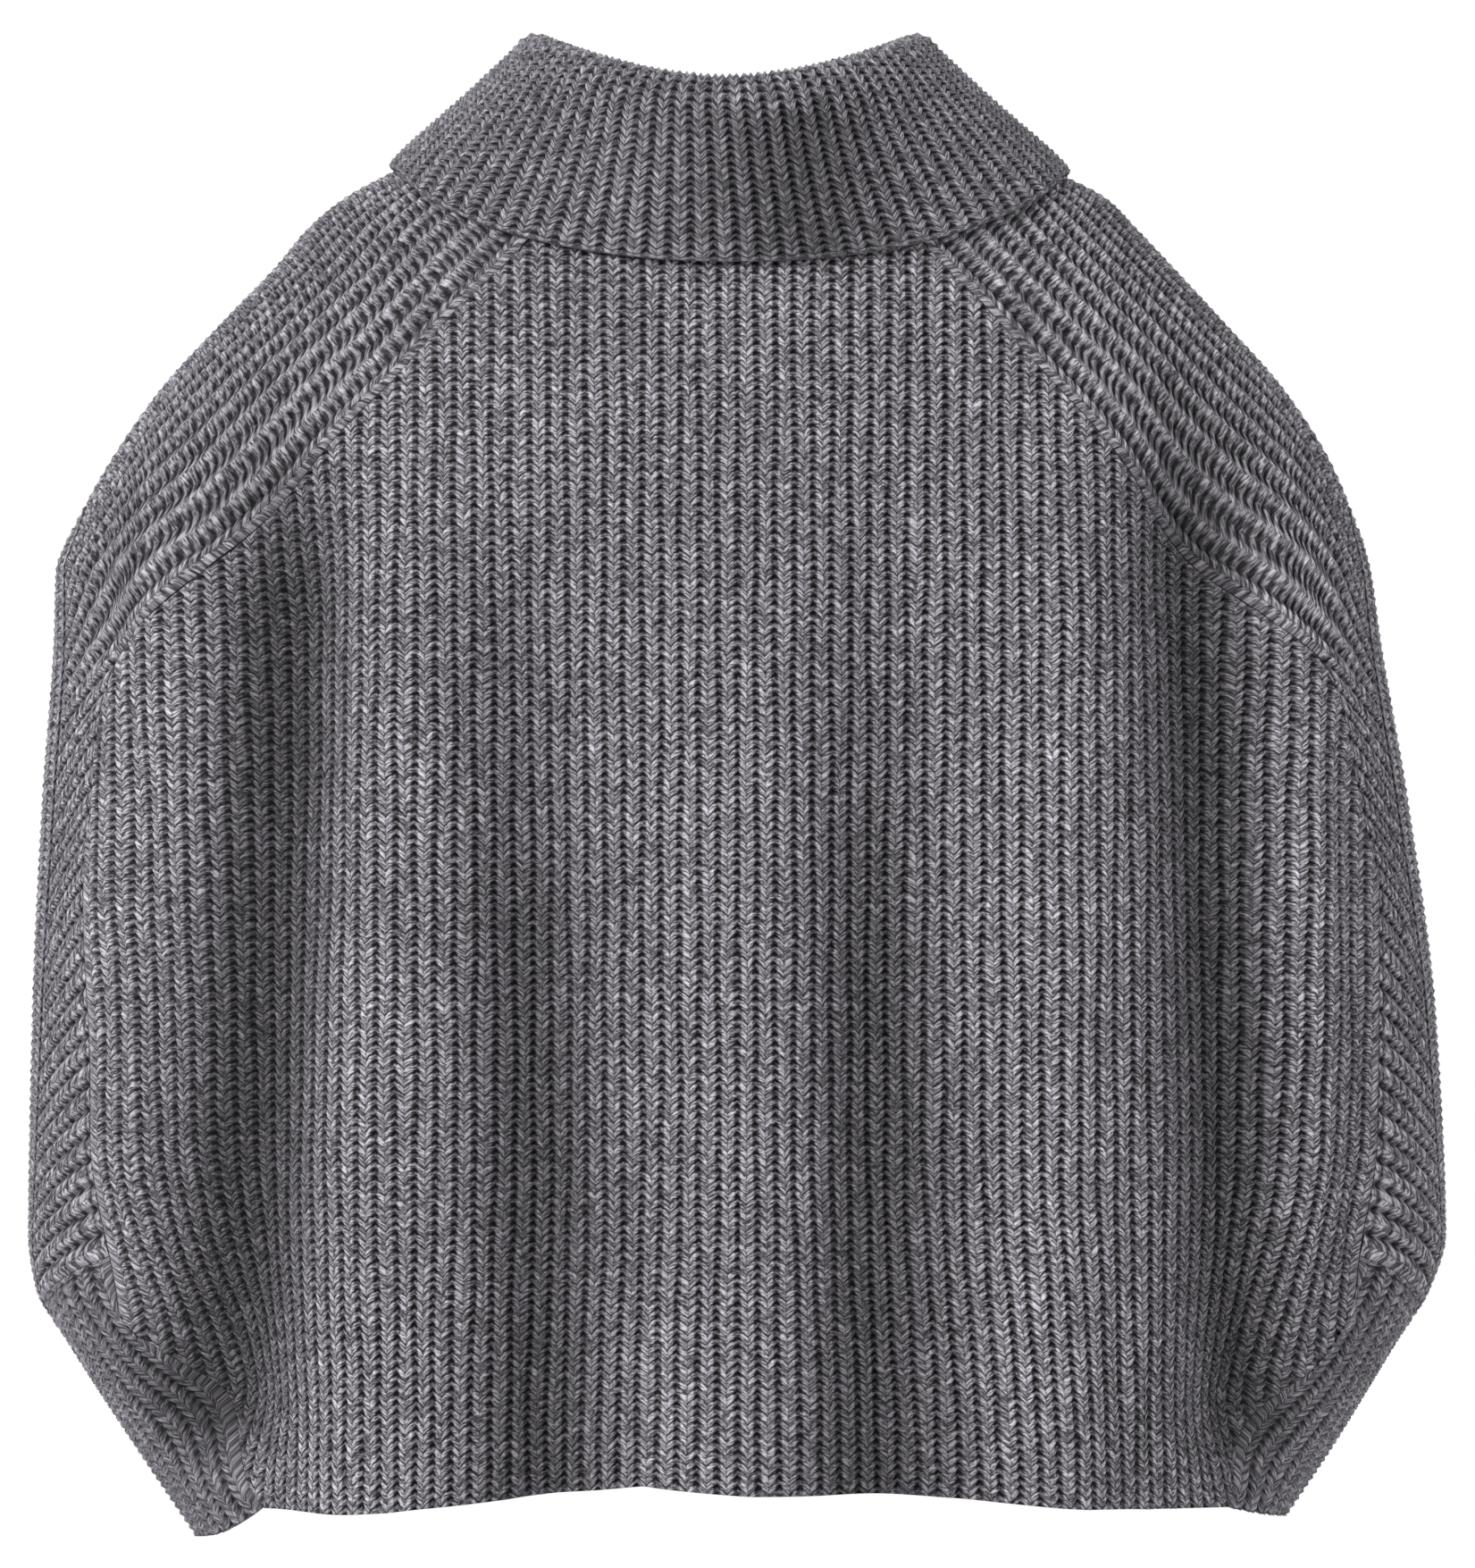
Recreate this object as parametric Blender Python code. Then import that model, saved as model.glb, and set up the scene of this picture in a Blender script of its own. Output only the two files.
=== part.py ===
"""Knitted poncho sweater with a turned-down collar, raglan shoulder panels and side arm openings.

The garment keeps the hollow form it has when it is worn. It faces +Y, so its back is on the -Y side,
and its origin is the middle of the neck, level with the seams where the shoulders meet the collar.
Every knitted piece is one closed wall: a plain inner face and an outer face raised into ribs.
"""

from collections import namedtuple

import bmesh
import bpy
import numpy as np

# Driving sizes, in metres.
WALL = 0.0030  # thickness of the cloth in the valley between two ribs
RIB = 0.0020  # how far a rib stands above its valleys
SEAM_INSET = 0.00030  # each piece stops this far short of its seam line on the outer face
INNER_INSET = 0.0013  # and this far on the plain inner face
ROUNDNESS = 2.2  # exponent of the body's sections: 2 is an ellipse, more is boxier

PANEL_RIBS = 72
SHOULDER_RIBS = 20  # of each sleeve panel, from raglan seam to raglan seam over the shoulder
EDGE_RIBS = 24  # of each sleeve panel, on each side below the shoulder ribs
GUSSET_RIBS = 8
COLLAR_RIBS = 76
PANEL_ROWS = 9
PANEL_INNER_ROWS = 6
GUSSET_ROWS = 16
INNER_STEP = 4  # outer columns to each column of a panel's plain inner face
COLLAR_INNER_STEP = 2

# Horizontal sections of the body: height, half widths to the wearer's left (-X) and right (+X) and
# half depths to the back (-Y) and to the front (+Y).
Section = namedtuple("Section", "z left right back front")
BODY = [
    Section(0.0216, 0.105, 0.090, 0.048, 0.050),
    Section(0.0090, 0.128, 0.112, 0.062, 0.064),
    Section(-0.0014, 0.147, 0.132, 0.071, 0.075),
    Section(-0.0135, 0.167, 0.153, 0.080, 0.085),
    Section(-0.0300, 0.197, 0.185, 0.090, 0.097),
    Section(-0.0450, 0.215, 0.200, 0.097, 0.106),
    Section(-0.0630, 0.230, 0.217, 0.104, 0.115),
    Section(-0.0900, 0.256, 0.242, 0.113, 0.127),
    Section(-0.1260, 0.289, 0.274, 0.123, 0.139),
    Section(-0.1620, 0.314, 0.297, 0.131, 0.147),
    Section(-0.1980, 0.334, 0.312, 0.137, 0.152),
    Section(-0.2160, 0.342, 0.318, 0.139, 0.154),
    Section(-0.2520, 0.344, 0.324, 0.143, 0.157),
    Section(-0.3330, 0.350, 0.338, 0.149, 0.160),
    Section(-0.4410, 0.354, 0.351, 0.152, 0.158),
    Section(-0.5490, 0.355, 0.355, 0.152, 0.154),
    Section(-0.5760, 0.351, 0.347, 0.152, 0.152),
    Section(-0.6030, 0.335, 0.330, 0.151, 0.150),
    Section(-0.6570, 0.300, 0.297, 0.148, 0.148),
    Section(-0.7000, 0.271, 0.268, 0.145, 0.146),
]

# Soft troughs (push below 0) and ridges of the hanging cloth. Each follows a line through three points
# from top to bottom, fades in and out over run_in and run_out, and has the given half width.
Fold = namedtuple("Fold", "half x_top x_mid x_low z_top z_low run_in run_out width push")
FOLDS = [
    Fold("back", -0.215, -0.234, -0.264, -0.130, -0.680, 0.120, 0.080, 0.031, -0.024),
    Fold("back", 0.214, 0.238, 0.250, -0.080, -0.690, 0.150, 0.060, 0.027, -0.022),
    Fold("back", -0.130, -0.102, -0.099, -0.080, -0.760, 0.420, 0.060, 0.032, -0.020),
    Fold("back", 0.060, 0.070, 0.070, -0.100, -0.760, 0.420, 0.060, 0.032, -0.020),
    Fold("back", -0.178, -0.184, -0.191, -0.120, -0.760, 0.120, 0.060, 0.024, 0.008),
    Fold("back", -0.004, -0.012, -0.020, -0.230, -0.760, 0.160, 0.060, 0.032, 0.005),
    Fold("back", 0.169, 0.159, 0.162, -0.120, -0.760, 0.140, 0.060, 0.026, 0.008),
    Fold("back", -0.268, -0.296, -0.318, -0.150, -0.470, 0.100, 0.100, 0.020, 0.006),
    Fold("back", 0.268, 0.288, 0.292, -0.130, -0.560, 0.100, 0.120, 0.021, 0.005),
    Fold("front", -0.198, -0.221, -0.236, -0.130, -0.690, 0.140, 0.080, 0.030, -0.022),
    Fold("front", 0.204, 0.214, 0.240, -0.120, -0.690, 0.120, 0.080, 0.030, -0.021),
    Fold("front", -0.052, -0.066, -0.074, -0.180, -0.760, 0.400, 0.060, 0.032, -0.019),
    Fold("front", 0.086, 0.098, 0.092, -0.160, -0.760, 0.400, 0.060, 0.031, -0.018),
    Fold("front", -0.136, -0.142, -0.148, -0.160, -0.760, 0.160, 0.060, 0.028, 0.008),
    Fold("front", 0.016, 0.018, 0.010, -0.200, -0.760, 0.220, 0.060, 0.034, 0.006),
    Fold("front", 0.150, 0.152, 0.164, -0.150, -0.760, 0.150, 0.060, 0.026, 0.008),
]
FOLD_EDGE = 0.07  # folds die out over this share of the half width beside the arm openings

# The neck seam drops from the shoulders to the middle of the back and, further, of the front.
NECK_SIDE_Z = 0.0216
NECK_BACK_Z = -0.0250
NECK_FRONT_Z = -0.0520
NECK_BACK_POWER = 4.0
NECK_FRONT_POWER = 6.0
RAGLAN_BACK_TURN = 21.5  # degrees round the neck from the middle of the back
RAGLAN_FRONT_TURN = 158.0

# Raglan seam below the neck: height, and distance from the middle to the left and to the right.
Seam = namedtuple("Seam", "z left right")
RAGLAN = [
    Seam(-0.0563, 0.110, 0.097),
    Seam(-0.0810, 0.137, 0.122),
    Seam(-0.1215, 0.173, 0.158),
    Seam(-0.1530, 0.205, 0.187),
    Seam(-0.1845, 0.236, 0.214),
    Seam(-0.2160, 0.268, 0.243),
    Seam(-0.2430, 0.295, 0.270),
    Seam(-0.2610, 0.308, 0.288),
]
# Side seam of the back and front panels, from the end of the slanted raglan to the gusset.
SIDE_SEAM = [
    Seam(-0.2610, 0.308, 0.288),
    Seam(-0.2888, 0.318, 0.302),
    Seam(-0.3720, 0.324, 0.321),
    Seam(-0.5108, 0.324, 0.321),
    Seam(-0.5663, 0.317, 0.317),
    Seam(-0.5940, 0.311, 0.311),
]
GUSSET_SEAM = [
    Seam(-0.5940, 0.311, 0.311),
    Seam(-0.6075, 0.297, 0.299),
    Seam(-0.6390, 0.270, 0.273),
    Seam(-0.6615, 0.253, 0.256),
    Seam(-0.6855, 0.237, 0.246),
]
TIP_LEFT_Z = -0.7015  # the gussets hang to a tip below the hem
TIP_RIGHT_Z = -0.6900
TIP_POWER = 3.0

# Hem of the back and front panels: place across and height.
Hem = namedtuple("Hem", "x z")
HEM = [
    Hem(-0.237, -0.6855),
    Hem(-0.173, -0.6870),
    Hem(-0.119, -0.6836),
    Hem(-0.047, -0.6746),
    Hem(0.007, -0.6795),
    Hem(0.097, -0.6810),
    Hem(0.205, -0.6860),
    Hem(0.246, -0.6855),
]
FAN_START_Z = -0.5000  # the panels' outer ribs lean in below this height
HEM_SHARE = 1.0 - GUSSET_ROWS / PANEL_RIBS  # ribs out to here reach the hem, the rest end at the gusset
HEM_EVEN = 0.65  # 1 spaces the ribs evenly along the hem, less closes them up towards its ends

# Arm openings, as seen from the side.
SLIT_TOP_Z = -0.2030
SLIT_LOW_Z = -0.5760
SLIT_TOP_HALF = 0.026
SLIT_LOW_HALF = 0.008
BAND = 0.020  # width of the knitted band round the opening
BAND_LOW = 0.014  # its width at the lowest point
SLIT_SQUARE = 0.62  # below 1 the loop has straighter sides and blunter ends
SHOULDER_END_Z = -0.2970  # where the last shoulder rib meets the band
LOOP_GAP = 0.035  # share of the loop, each side of its lowest point, that the gusset closes
LOOP_GAP_STEPS = 4

# Collar: the fold line stands highest at the sides of the neck.
FOLD_X = -0.0055
FOLD_HALF_WIDTH = 0.0965
FOLD_BACK = 0.098
FOLD_FRONT = 0.106
FOLD_SIDE_Z = 0.0500
FOLD_BACK_Z = 0.0280
FOLD_FRONT_Z = -0.0040
FOLD_RISE_POWER = 1.8
FOLD_GAP = 0.009  # from the fold line out to each layer
FOLD_DROP = 0.008
TURN_LEFT_Z = -0.0165  # edge of the turned-down layer
TURN_RIGHT_Z = -0.0195
TURN_BACK_Z = -0.0630
TURN_FRONT_Z = -0.0930
TURN_POWER = 2.7
TURN_CLEAR = 0.0040  # from the ribs under the collar's edge, at the back and the front
TURN_SIDE_CLEAR = 0.0016
TURN_BULGE = 0.0035
TURN_SIDE_BULGE = -0.0010
FOOT_CLEAR = 0.0006  # between the collar's foot and the neck seam
FOOT_STEP = 0.0030  # how far below the seam the slope of the cloth is taken

GREY = (0.125, 0.120, 0.132, 1.0)
GREY_BAND = (0.110, 0.105, 0.117, 1.0)
KNIT_ROUGHNESS = 0.95


# --- The body's surface -------------------------------------------------------------------------------


def smooth_column(rows, name, at):
    """Value of a table's column at the heights in at, on a smooth curve through its rows."""
    knots = np.array([row.z for row in rows])[::-1]
    values = np.array([getattr(row, name) for row in rows])[::-1]
    steps = np.diff(knots)
    slopes = np.diff(values) / steps
    tangents = np.zeros(len(knots))
    tangents[0], tangents[-1] = slopes[0], slopes[-1]
    same_sign = slopes[:-1] * slopes[1:] > 0
    pair = np.where(same_sign, slopes[:-1] + slopes[1:], 1.0)
    tangents[1:-1] = np.where(same_sign, 2.0 * slopes[:-1] * slopes[1:] / pair, 0.0)
    at = np.clip(np.asarray(at, dtype=float), knots[0], knots[-1])
    cell = np.clip(np.searchsorted(knots, at) - 1, 0, len(steps) - 1)
    step = steps[cell]
    t = (at - knots[cell]) / step
    rise = t * t * (3.0 - 2.0 * t)
    value = values[cell] * (1.0 - rise) + values[cell + 1] * rise
    value += step * tangents[cell] * t * (1.0 - t) ** 2
    return value - step * tangents[cell + 1] * t * t * (1.0 - t)


def signed_power(value, power):
    return np.sign(value) * np.abs(value) ** power


def smooth_step(value):
    value = np.clip(value, 0.0, 1.0)
    return value * value * (3.0 - 2.0 * value)


def half_width(z, right):
    return np.where(right, smooth_column(BODY, "right", z), smooth_column(BODY, "left", z))


def fold_push(x, z, share, at_back):
    """How far the folds move the cloth outwards, at places across x of the back or the front."""
    push = np.zeros(np.shape(x))
    for fold in FOLDS:
        middle = 0.5 * (fold.z_top + fold.z_low)
        t = (fold.z_top - z) / (fold.z_top - middle)
        bend = 0.5 * (fold.x_top + fold.x_low) - fold.x_mid
        line = fold.x_mid + (t - 1.0) * 0.5 * (fold.x_low - fold.x_top) + (t - 1.0) ** 2 * bend
        strength = smooth_step((fold.z_top - z) / fold.run_in) * smooth_step((z - fold.z_low) / fold.run_out)
        there = at_back if fold.half == "back" else ~at_back
        push += there * fold.push * strength * np.exp(-(((x - line) / fold.width) ** 2))
    return push * smooth_step((1.0 - share) / FOLD_EDGE)


def base_points(turn, z):
    """Points of the body's smooth form. turn is in degrees from the middle of the back, + to +X."""
    angle = np.radians(turn)
    width = half_width(z, angle > 0)
    at_back = np.cos(angle) > 0
    depth = np.where(at_back, smooth_column(BODY, "back", z), smooth_column(BODY, "front", z))
    x = width * signed_power(np.sin(angle), 2.0 / ROUNDNESS)
    y = -depth * signed_power(np.cos(angle), 2.0 / ROUNDNESS)
    return np.stack([x, y, z + 0.0 * x], axis=-1), width


def body_normals(turn, z):
    """Outward unit normals of the smooth form."""
    small_turn, small_z = 0.4, 0.0015
    round_it = base_points(turn + small_turn, z)[0] - base_points(turn - small_turn, z)[0]
    up_it = base_points(turn, z + small_z)[0] - base_points(turn, z - small_z)[0]
    normal = np.cross(round_it, up_it)
    return normal / np.linalg.norm(normal, axis=-1, keepdims=True)


def body_points(turn, z, lift=0.0):
    """Points of the folded cloth, lifted outwards by lift."""
    points, width = base_points(turn, z)
    normal = body_normals(turn, z)
    x = points[..., 0]
    push = fold_push(x, z, np.abs(x) / width, np.cos(np.radians(turn)) > 0)
    return points + normal * (push + lift)[..., None]


def turn_at(x, z, side):
    """Degrees from the middle of the back (or of the front) at which the body is x to that side."""
    share = np.clip(np.abs(x) / half_width(z, side > 0), 0.0, 1.0)
    return np.degrees(np.arcsin(share ** (ROUNDNESS / 2.0)))


# --- Seam lines, as turns from the middle of the back (0 to 180) and heights ---------------------------


def neck_z(turn):
    cosine = np.cos(np.radians(turn))
    back = NECK_SIDE_Z + (NECK_BACK_Z - NECK_SIDE_Z) * np.abs(cosine) ** NECK_BACK_POWER
    front = NECK_SIDE_Z + (NECK_FRONT_Z - NECK_SIDE_Z) * np.abs(cosine) ** NECK_FRONT_POWER
    return np.where(cosine > 0, back, front)


def raglan_line(side, front):
    """Rows (x, z) of the slanted seam, from the neck down to where it turns into the side seam."""
    turn = RAGLAN_FRONT_TURN if front else RAGLAN_BACK_TURN
    top = base_points(np.array([side * turn]), neck_z(np.array([turn])))[0][0]
    name = "right" if side > 0 else "left"
    rows = [(abs(top[0]), top[2])]
    rows += [(getattr(seam, name), seam.z) for seam in RAGLAN]
    return np.array(rows)


def seam_rows(table, side):
    name = "right" if side > 0 else "left"
    return np.array([(getattr(seam, name), seam.z) for seam in table])


def on_line(rows, share):
    """Points at shares 0 to 1 of the length of a line given by rows of points."""
    length = np.concatenate([[0.0], np.cumsum(np.linalg.norm(np.diff(rows, axis=0), axis=1))])
    at = np.asarray(share) * length[-1]
    return np.stack([np.interp(at, length, rows[:, k]) for k in range(rows.shape[1])], axis=-1)


def panel_top(x, side, front):
    """Height of a panel's upper boundary at distance x from the middle: neck, raglan, side seam."""
    raglan = raglan_line(side, front)
    neck_turn = np.linspace(180.0 if front else 0.0, RAGLAN_FRONT_TURN if front else RAGLAN_BACK_TURN, 60)
    neck = base_points(side * neck_turn, neck_z(neck_turn))[0]
    outer = seam_rows(SIDE_SEAM, side)[1:3]
    across = np.concatenate([np.abs(neck[:, 0]), raglan[1:, 0], outer[:, 0]])
    height = np.concatenate([neck[:, 2], raglan[1:, 1], outer[:, 1]])
    return np.interp(x, across, height)


# --- Walls --------------------------------------------------------------------------------------------


def grid_verts(bm, points):
    """A Blender grid moved onto an array of points [column, row]; returns its vertices as rows."""
    columns, rows = points.shape[0] - 1, points.shape[1] - 1
    made = bmesh.ops.create_grid(bm, x_segments=columns, y_segments=rows, size=1.0)["verts"]
    verts = [[made[row * (columns + 1) + column] for row in range(rows + 1)] for column in range(columns + 1)]
    for column in range(columns + 1):
        for row in range(rows + 1):
            verts[column][row].co = points[column, row]
    return verts


def outline(corners, columns, rows):
    """Grid places along an outline through corners (shares of the columns and rows), with their run."""
    places = []
    run = 0.0
    for here, there in zip(corners, corners[1:] + corners[:1]):
        start = np.array([round(here[0] * columns), round(here[1] * rows)])
        stop = np.array([round(there[0] * columns), round(there[1] * rows)])
        count = int(np.abs(stop - start).max())
        length = abs(there[0] - here[0]) + abs(there[1] - here[1])
        for k in range(count):
            column, row = start + (stop - start) * k // count
            places.append((run + length * k / count, int(column), int(row)))
        run += length
    return places, run


def draw_in(points, normals, places, distance):
    """Moves the points on an outline inwards, in the cloth's own surface."""
    around = [points[column, row] for _, column, row in places]
    moved = points.copy()
    for k, (_, column, row) in enumerate(places):
        along = around[(k + 1) % len(around)] - around[k - 1]
        inward = np.cross(normals[column, row], along)
        moved[column, row] = around[k] + inward / np.linalg.norm(inward) * distance
    return moved


def loft_rims(bm, first, second, length):
    """Closes the gap between two outlines of unlike counts; each is a list of (run, vertex)."""
    first = first + [(length, first[0][1])]
    second = second + [(length, second[0][1])]
    i, j = 0, 0
    while i < len(first) - 1 or j < len(second) - 1:
        step_first = j == len(second) - 1 or (i < len(first) - 1 and first[i + 1][0] <= second[j + 1][0])
        if step_first:
            bm.faces.new((first[i][1], first[i + 1][1], second[j][1]))
            i += 1
        else:
            bm.faces.new((first[i][1], second[j + 1][1], second[j][1]))
            j += 1


def drop_cells(bm, verts, left_out, columns, rows):
    """Deletes the grid's vertices that a shaped panel doesn't use."""
    unused = []
    for column in range(columns + 1):
        for row in range(rows + 1):
            if left_out(column / columns, row / rows):
                unused.append(verts[column][row])
    bmesh.ops.delete(bm, geom=unused, context="VERTS")


def knit_wall(name, material, place, counts, inner_counts, corners, left_out=None):
    """One closed knitted wall. place(column shares, row shares) gives turns and heights."""
    bm = bmesh.new()
    rims = []
    for is_outer in (True, False):
        columns, rows = counts if is_outer else inner_counts
        distance = SEAM_INSET if is_outer else INNER_INSET
        u, v = np.meshgrid(np.linspace(0, 1, columns + 1), np.linspace(0, 1, rows + 1), indexing="ij")
        turn, z = place(u, v)
        raised = RIB * (np.arange(columns + 1) % 2)[:, None] + 0.0 * v
        lift = raised if is_outer else -WALL + 0.0 * v
        points = body_points(turn, z, lift)
        normals = body_normals(turn, z)
        places, length = outline(corners, columns, rows)
        points = draw_in(points, normals, places, distance)
        verts = grid_verts(bm, points)
        rims.append([(run, verts[column][row]) for run, column, row in places])
        if left_out:
            drop_cells(bm, verts, left_out, columns, rows)
    loft_rims(bm, rims[0], rims[1], length)
    finish_piece(bm, name, material)


def finish_piece(bm, name, material):
    bmesh.ops.triangulate(bm, faces=bm.faces[:])
    bmesh.ops.recalc_face_normals(bm, faces=bm.faces[:])
    mesh = bpy.data.meshes.new(name)
    bm.to_mesh(mesh)
    bm.free()
    mesh.materials.append(material)
    mesh.shade_smooth()
    piece = bpy.data.objects.new(name, mesh)
    garment.objects.link(piece)


# --- Back and front panels ------------------------------------------------------------------------------


def even_columns(side, front):
    """Distances from the middle of evenly spaced ribs, measured round the body at mid height."""
    widest = seam_rows(SIDE_SEAM, side)[2]
    mid_z = widest[1]
    x = np.linspace(0.0, widest[0], 200)
    turn = turn_at(x, np.full(x.shape, mid_z), side)
    turn = 180.0 - turn if front else turn
    rows = base_points(side * turn, np.full(x.shape, mid_z))[0][:, :2]
    return lambda share: np.abs(on_line(rows, share)[..., 0])


def panel_place(front):
    def place(u, v):
        share = 2.0 * u - 1.0
        turn, height = np.zeros(u.shape), np.zeros(u.shape)
        for side in (-1, 1):
            here = share * side >= 0 if side > 0 else share < 0
            out = np.abs(share[here])
            straight_x = even_columns(side, front)(out)
            gusset = seam_rows(GUSSET_SEAM, side)[::-1]
            along = np.minimum(out / HEM_SHARE, 1.0)
            hem_x = gusset[0, 0] * (HEM_EVEN * along + (1.0 - HEM_EVEN) * np.sin(along * np.pi / 2.0))
            hem_z = np.interp(side * hem_x, [row.x for row in HEM], [row.z for row in HEM])
            climb = np.clip((out - HEM_SHARE) / (1.0 - HEM_SHARE), 0.0, 1.0)
            seam = on_line(gusset, climb)
            low_x = np.where(out < HEM_SHARE, hem_x, seam[..., 0])
            low_z = np.where(out < HEM_SHARE, hem_z, seam[..., 1])
            high_z = panel_top(straight_x, side, front)
            z = low_z + (high_z - low_z) * v[here]
            lean = smooth_step((FAN_START_Z - z) / (FAN_START_Z - low_z))
            x = straight_x + (low_x - straight_x) * lean
            inside = turn_at(x, z, side)
            turn[here] = side * (180.0 - inside if front else inside)
            height[here] = z
        return turn, height

    return place


def make_panel(name, front, material):
    columns = 2 * PANEL_RIBS
    corners = [(0, 0), (1, 0), (1, 1), (0, 1)]
    if front:
        corners.reverse()
    inner = (columns // INNER_STEP, PANEL_INNER_ROWS)
    knit_wall(name, material, panel_place(front), (columns, PANEL_ROWS), inner, corners)


# --- Arm openings: loops seen from the side --------------------------------------------------------------


def loop_line(side, outer, share):
    """Turn and height on the band's outer or inner edge. share runs 0 to 1 from the lowest point up
    the back, over the top and down the front."""
    grow = BAND if outer else 0.0
    top, low = SLIT_TOP_Z + grow, SLIT_LOW_Z - (BAND_LOW if outer else 0.0)
    angle = 2.0 * np.pi * np.asarray(share)
    z = 0.5 * (top + low) - 0.5 * (top - low) * np.cos(angle)
    rise = (z - low) / (top - low)
    half = (SLIT_LOW_HALF + (SLIT_TOP_HALF - SLIT_LOW_HALF) * rise) + grow
    y = -half * signed_power(np.sin(angle), SLIT_SQUARE)
    depth = np.where(y < 0, smooth_column(BODY, "back", z), smooth_column(BODY, "front", z))
    turn = np.degrees(np.arccos(np.clip(np.abs(y) / depth, 0.0, 1.0) ** (ROUNDNESS / 2.0)))
    return np.where(y < 0, turn, 180.0 - turn), z


def loop_share(side, height):
    """Share of the outer loop, up its back half, at a height."""
    share = np.linspace(0.0, 0.5, 800)
    return np.interp(height, loop_line(side, True, share)[1], share)


def loop_shares(side):
    """Shares of the outer loop at the valleys of the sleeve panel's ribs, back low end first."""
    low, high = LOOP_GAP, loop_share(side, SHOULDER_END_Z)
    fine = np.linspace(0.0, 1.0, 1601)
    turn, z = loop_line(side, True, fine)
    points = base_points(side * turn, z)[0]
    run = np.concatenate([[0.0], np.cumsum(np.linalg.norm(np.diff(points, axis=0), axis=1))])
    marks = np.interp([low, high, 1.0 - high, 1.0 - low], fine, run)
    counts = [EDGE_RIBS, SHOULDER_RIBS, EDGE_RIBS]
    at = [np.linspace(marks[k], marks[k + 1], counts[k] + 1) for k in range(3)]
    at = np.concatenate([at[0], at[1][1:], at[2][1:]])
    return np.interp(at, run, fine)


def edge_valleys(side):
    turn, z = loop_line(side, True, loop_shares(side))
    return np.stack([turn, z], axis=-1)


# --- Sleeve panels --------------------------------------------------------------------------------------

SLEEVE_RIBS = SHOULDER_RIBS + 2 * EDGE_RIBS
SLEEVE_ROWS = 10
CORNER_ROW = 8  # the row at which the slanted raglan ends
NECK_ROWS = 2  # rows that still follow the dip of the neck
NO_CLOTH = (90.0, -0.200)  # turn and height of the grid's unused vertices, which are dropped
LOW_SHARE = EDGE_RIBS / SLEEVE_RIBS
HIGH_SHARE = 1.0 - LOW_SHARE


def ridge_line(side):
    """Heights down the top of the shoulder, from the neck to the band, even along the cloth."""
    z = np.linspace(NECK_SIDE_Z, SLIT_TOP_Z + BAND, 200)
    width = half_width(z, np.full(z.shape, side > 0))
    return on_line(np.stack([width, z], axis=-1), np.linspace(0.0, 1.0, SLEEVE_ROWS + 1))[:, 1]


def raglan_turns(side, front):
    """Turn and height of the raglan seam at the sleeve panel's rows above its corner."""
    rows = raglan_line(side, front)
    inside = turn_at(rows[:, 0], rows[:, 1], side)
    return (180.0 - inside if front else inside), rows[:, 1]


def shoulder_grid(side):
    """Turn and height at [shoulder rib share 0 back to 1 front, row] of the upper part."""
    across = np.linspace(0.0, 1.0, 2 * SHOULDER_RIBS + 1)
    ridge = ridge_line(side)
    turn = np.zeros((len(across), CORNER_ROW + 1))
    height = np.zeros(turn.shape)
    for front in (False, True):
        seam_turn, seam_z = raglan_turns(side, front)
        here = across > 0.5 if front else across <= 0.5
        out = np.abs(2.0 * across[here] - 1.0)[:, None]
        neck_shape_turn = 90.0 + (seam_turn[0] - 90.0) * out
        neck_drop = (neck_z(neck_shape_turn) - NECK_SIDE_Z) / (seam_z[0] - NECK_SIDE_Z)
        blend = np.minimum(np.arange(CORNER_ROW + 1) / NECK_ROWS, 1.0)[None, :]
        drop = neck_drop * (1.0 - blend) + out**ROUNDNESS * blend
        turn[here] = 90.0 + (seam_turn[None, :] - 90.0) * out
        height[here] = ridge[None, : CORNER_ROW + 1] + (seam_z - ridge[: CORNER_ROW + 1])[None, :] * drop
    return turn, height


def side_starts(side, front):
    """Turn and height where the lower ribs leave the side seam, from the corner down."""
    rows = seam_rows(SIDE_SEAM, side)
    z = np.linspace(rows[0, 1], rows[-1, 1], EDGE_RIBS + 1)
    x = np.interp(-z, -rows[:, 1], rows[:, 0])
    inside = turn_at(x, z, side)
    return (180.0 - inside if front else inside), z


def sleeve_rows(side):
    """Turn and height at every rib valley [valley, row]."""
    grid = np.tile(np.array(NO_CLOTH)[:, None, None], (1, SLEEVE_RIBS + 1, SLEEVE_ROWS + 1))
    shoulder = shoulder_grid(side)
    first, last = EDGE_RIBS, EDGE_RIBS + SHOULDER_RIBS
    for k in range(2):
        grid[k, first : last + 1, : CORNER_ROW + 1] = shoulder[k][::2]
    for front in (False, True):
        turn, z = side_starts(side, front)
        for step in range(1, EDGE_RIBS + 1):
            valley = last + step if front else first - step
            grid[:, valley, CORNER_ROW] = (turn[step], z[step])
    edge = edge_valleys(side)
    for row in range(CORNER_ROW + 1, SLEEVE_ROWS + 1):
        t = (row - CORNER_ROW) / (SLEEVE_ROWS - CORNER_ROW)
        for k in range(2):
            grid[k, :, row] = grid[k, :, CORNER_ROW] * (1.0 - t) + edge[:, k] * t
    return grid


def sleeve_place(side):
    grid = sleeve_rows(side)

    def place(u, v):
        at = u * SLEEVE_RIBS
        row = np.rint(v * SLEEVE_ROWS).astype(int)
        low = np.clip(np.floor(at + 1e-6).astype(int), 0, SLEEVE_RIBS - 1)
        part = at - low
        turn, z = grid[:, low, row] * (1.0 - part) + grid[:, low + 1, row] * part
        return side * turn, z

    return place


def sleeve_left_out(u, v):
    above_corner = v < CORNER_ROW / SLEEVE_ROWS - 1e-6
    return above_corner and (u < LOW_SHARE - 1e-6 or u > HIGH_SHARE + 1e-6)


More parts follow.
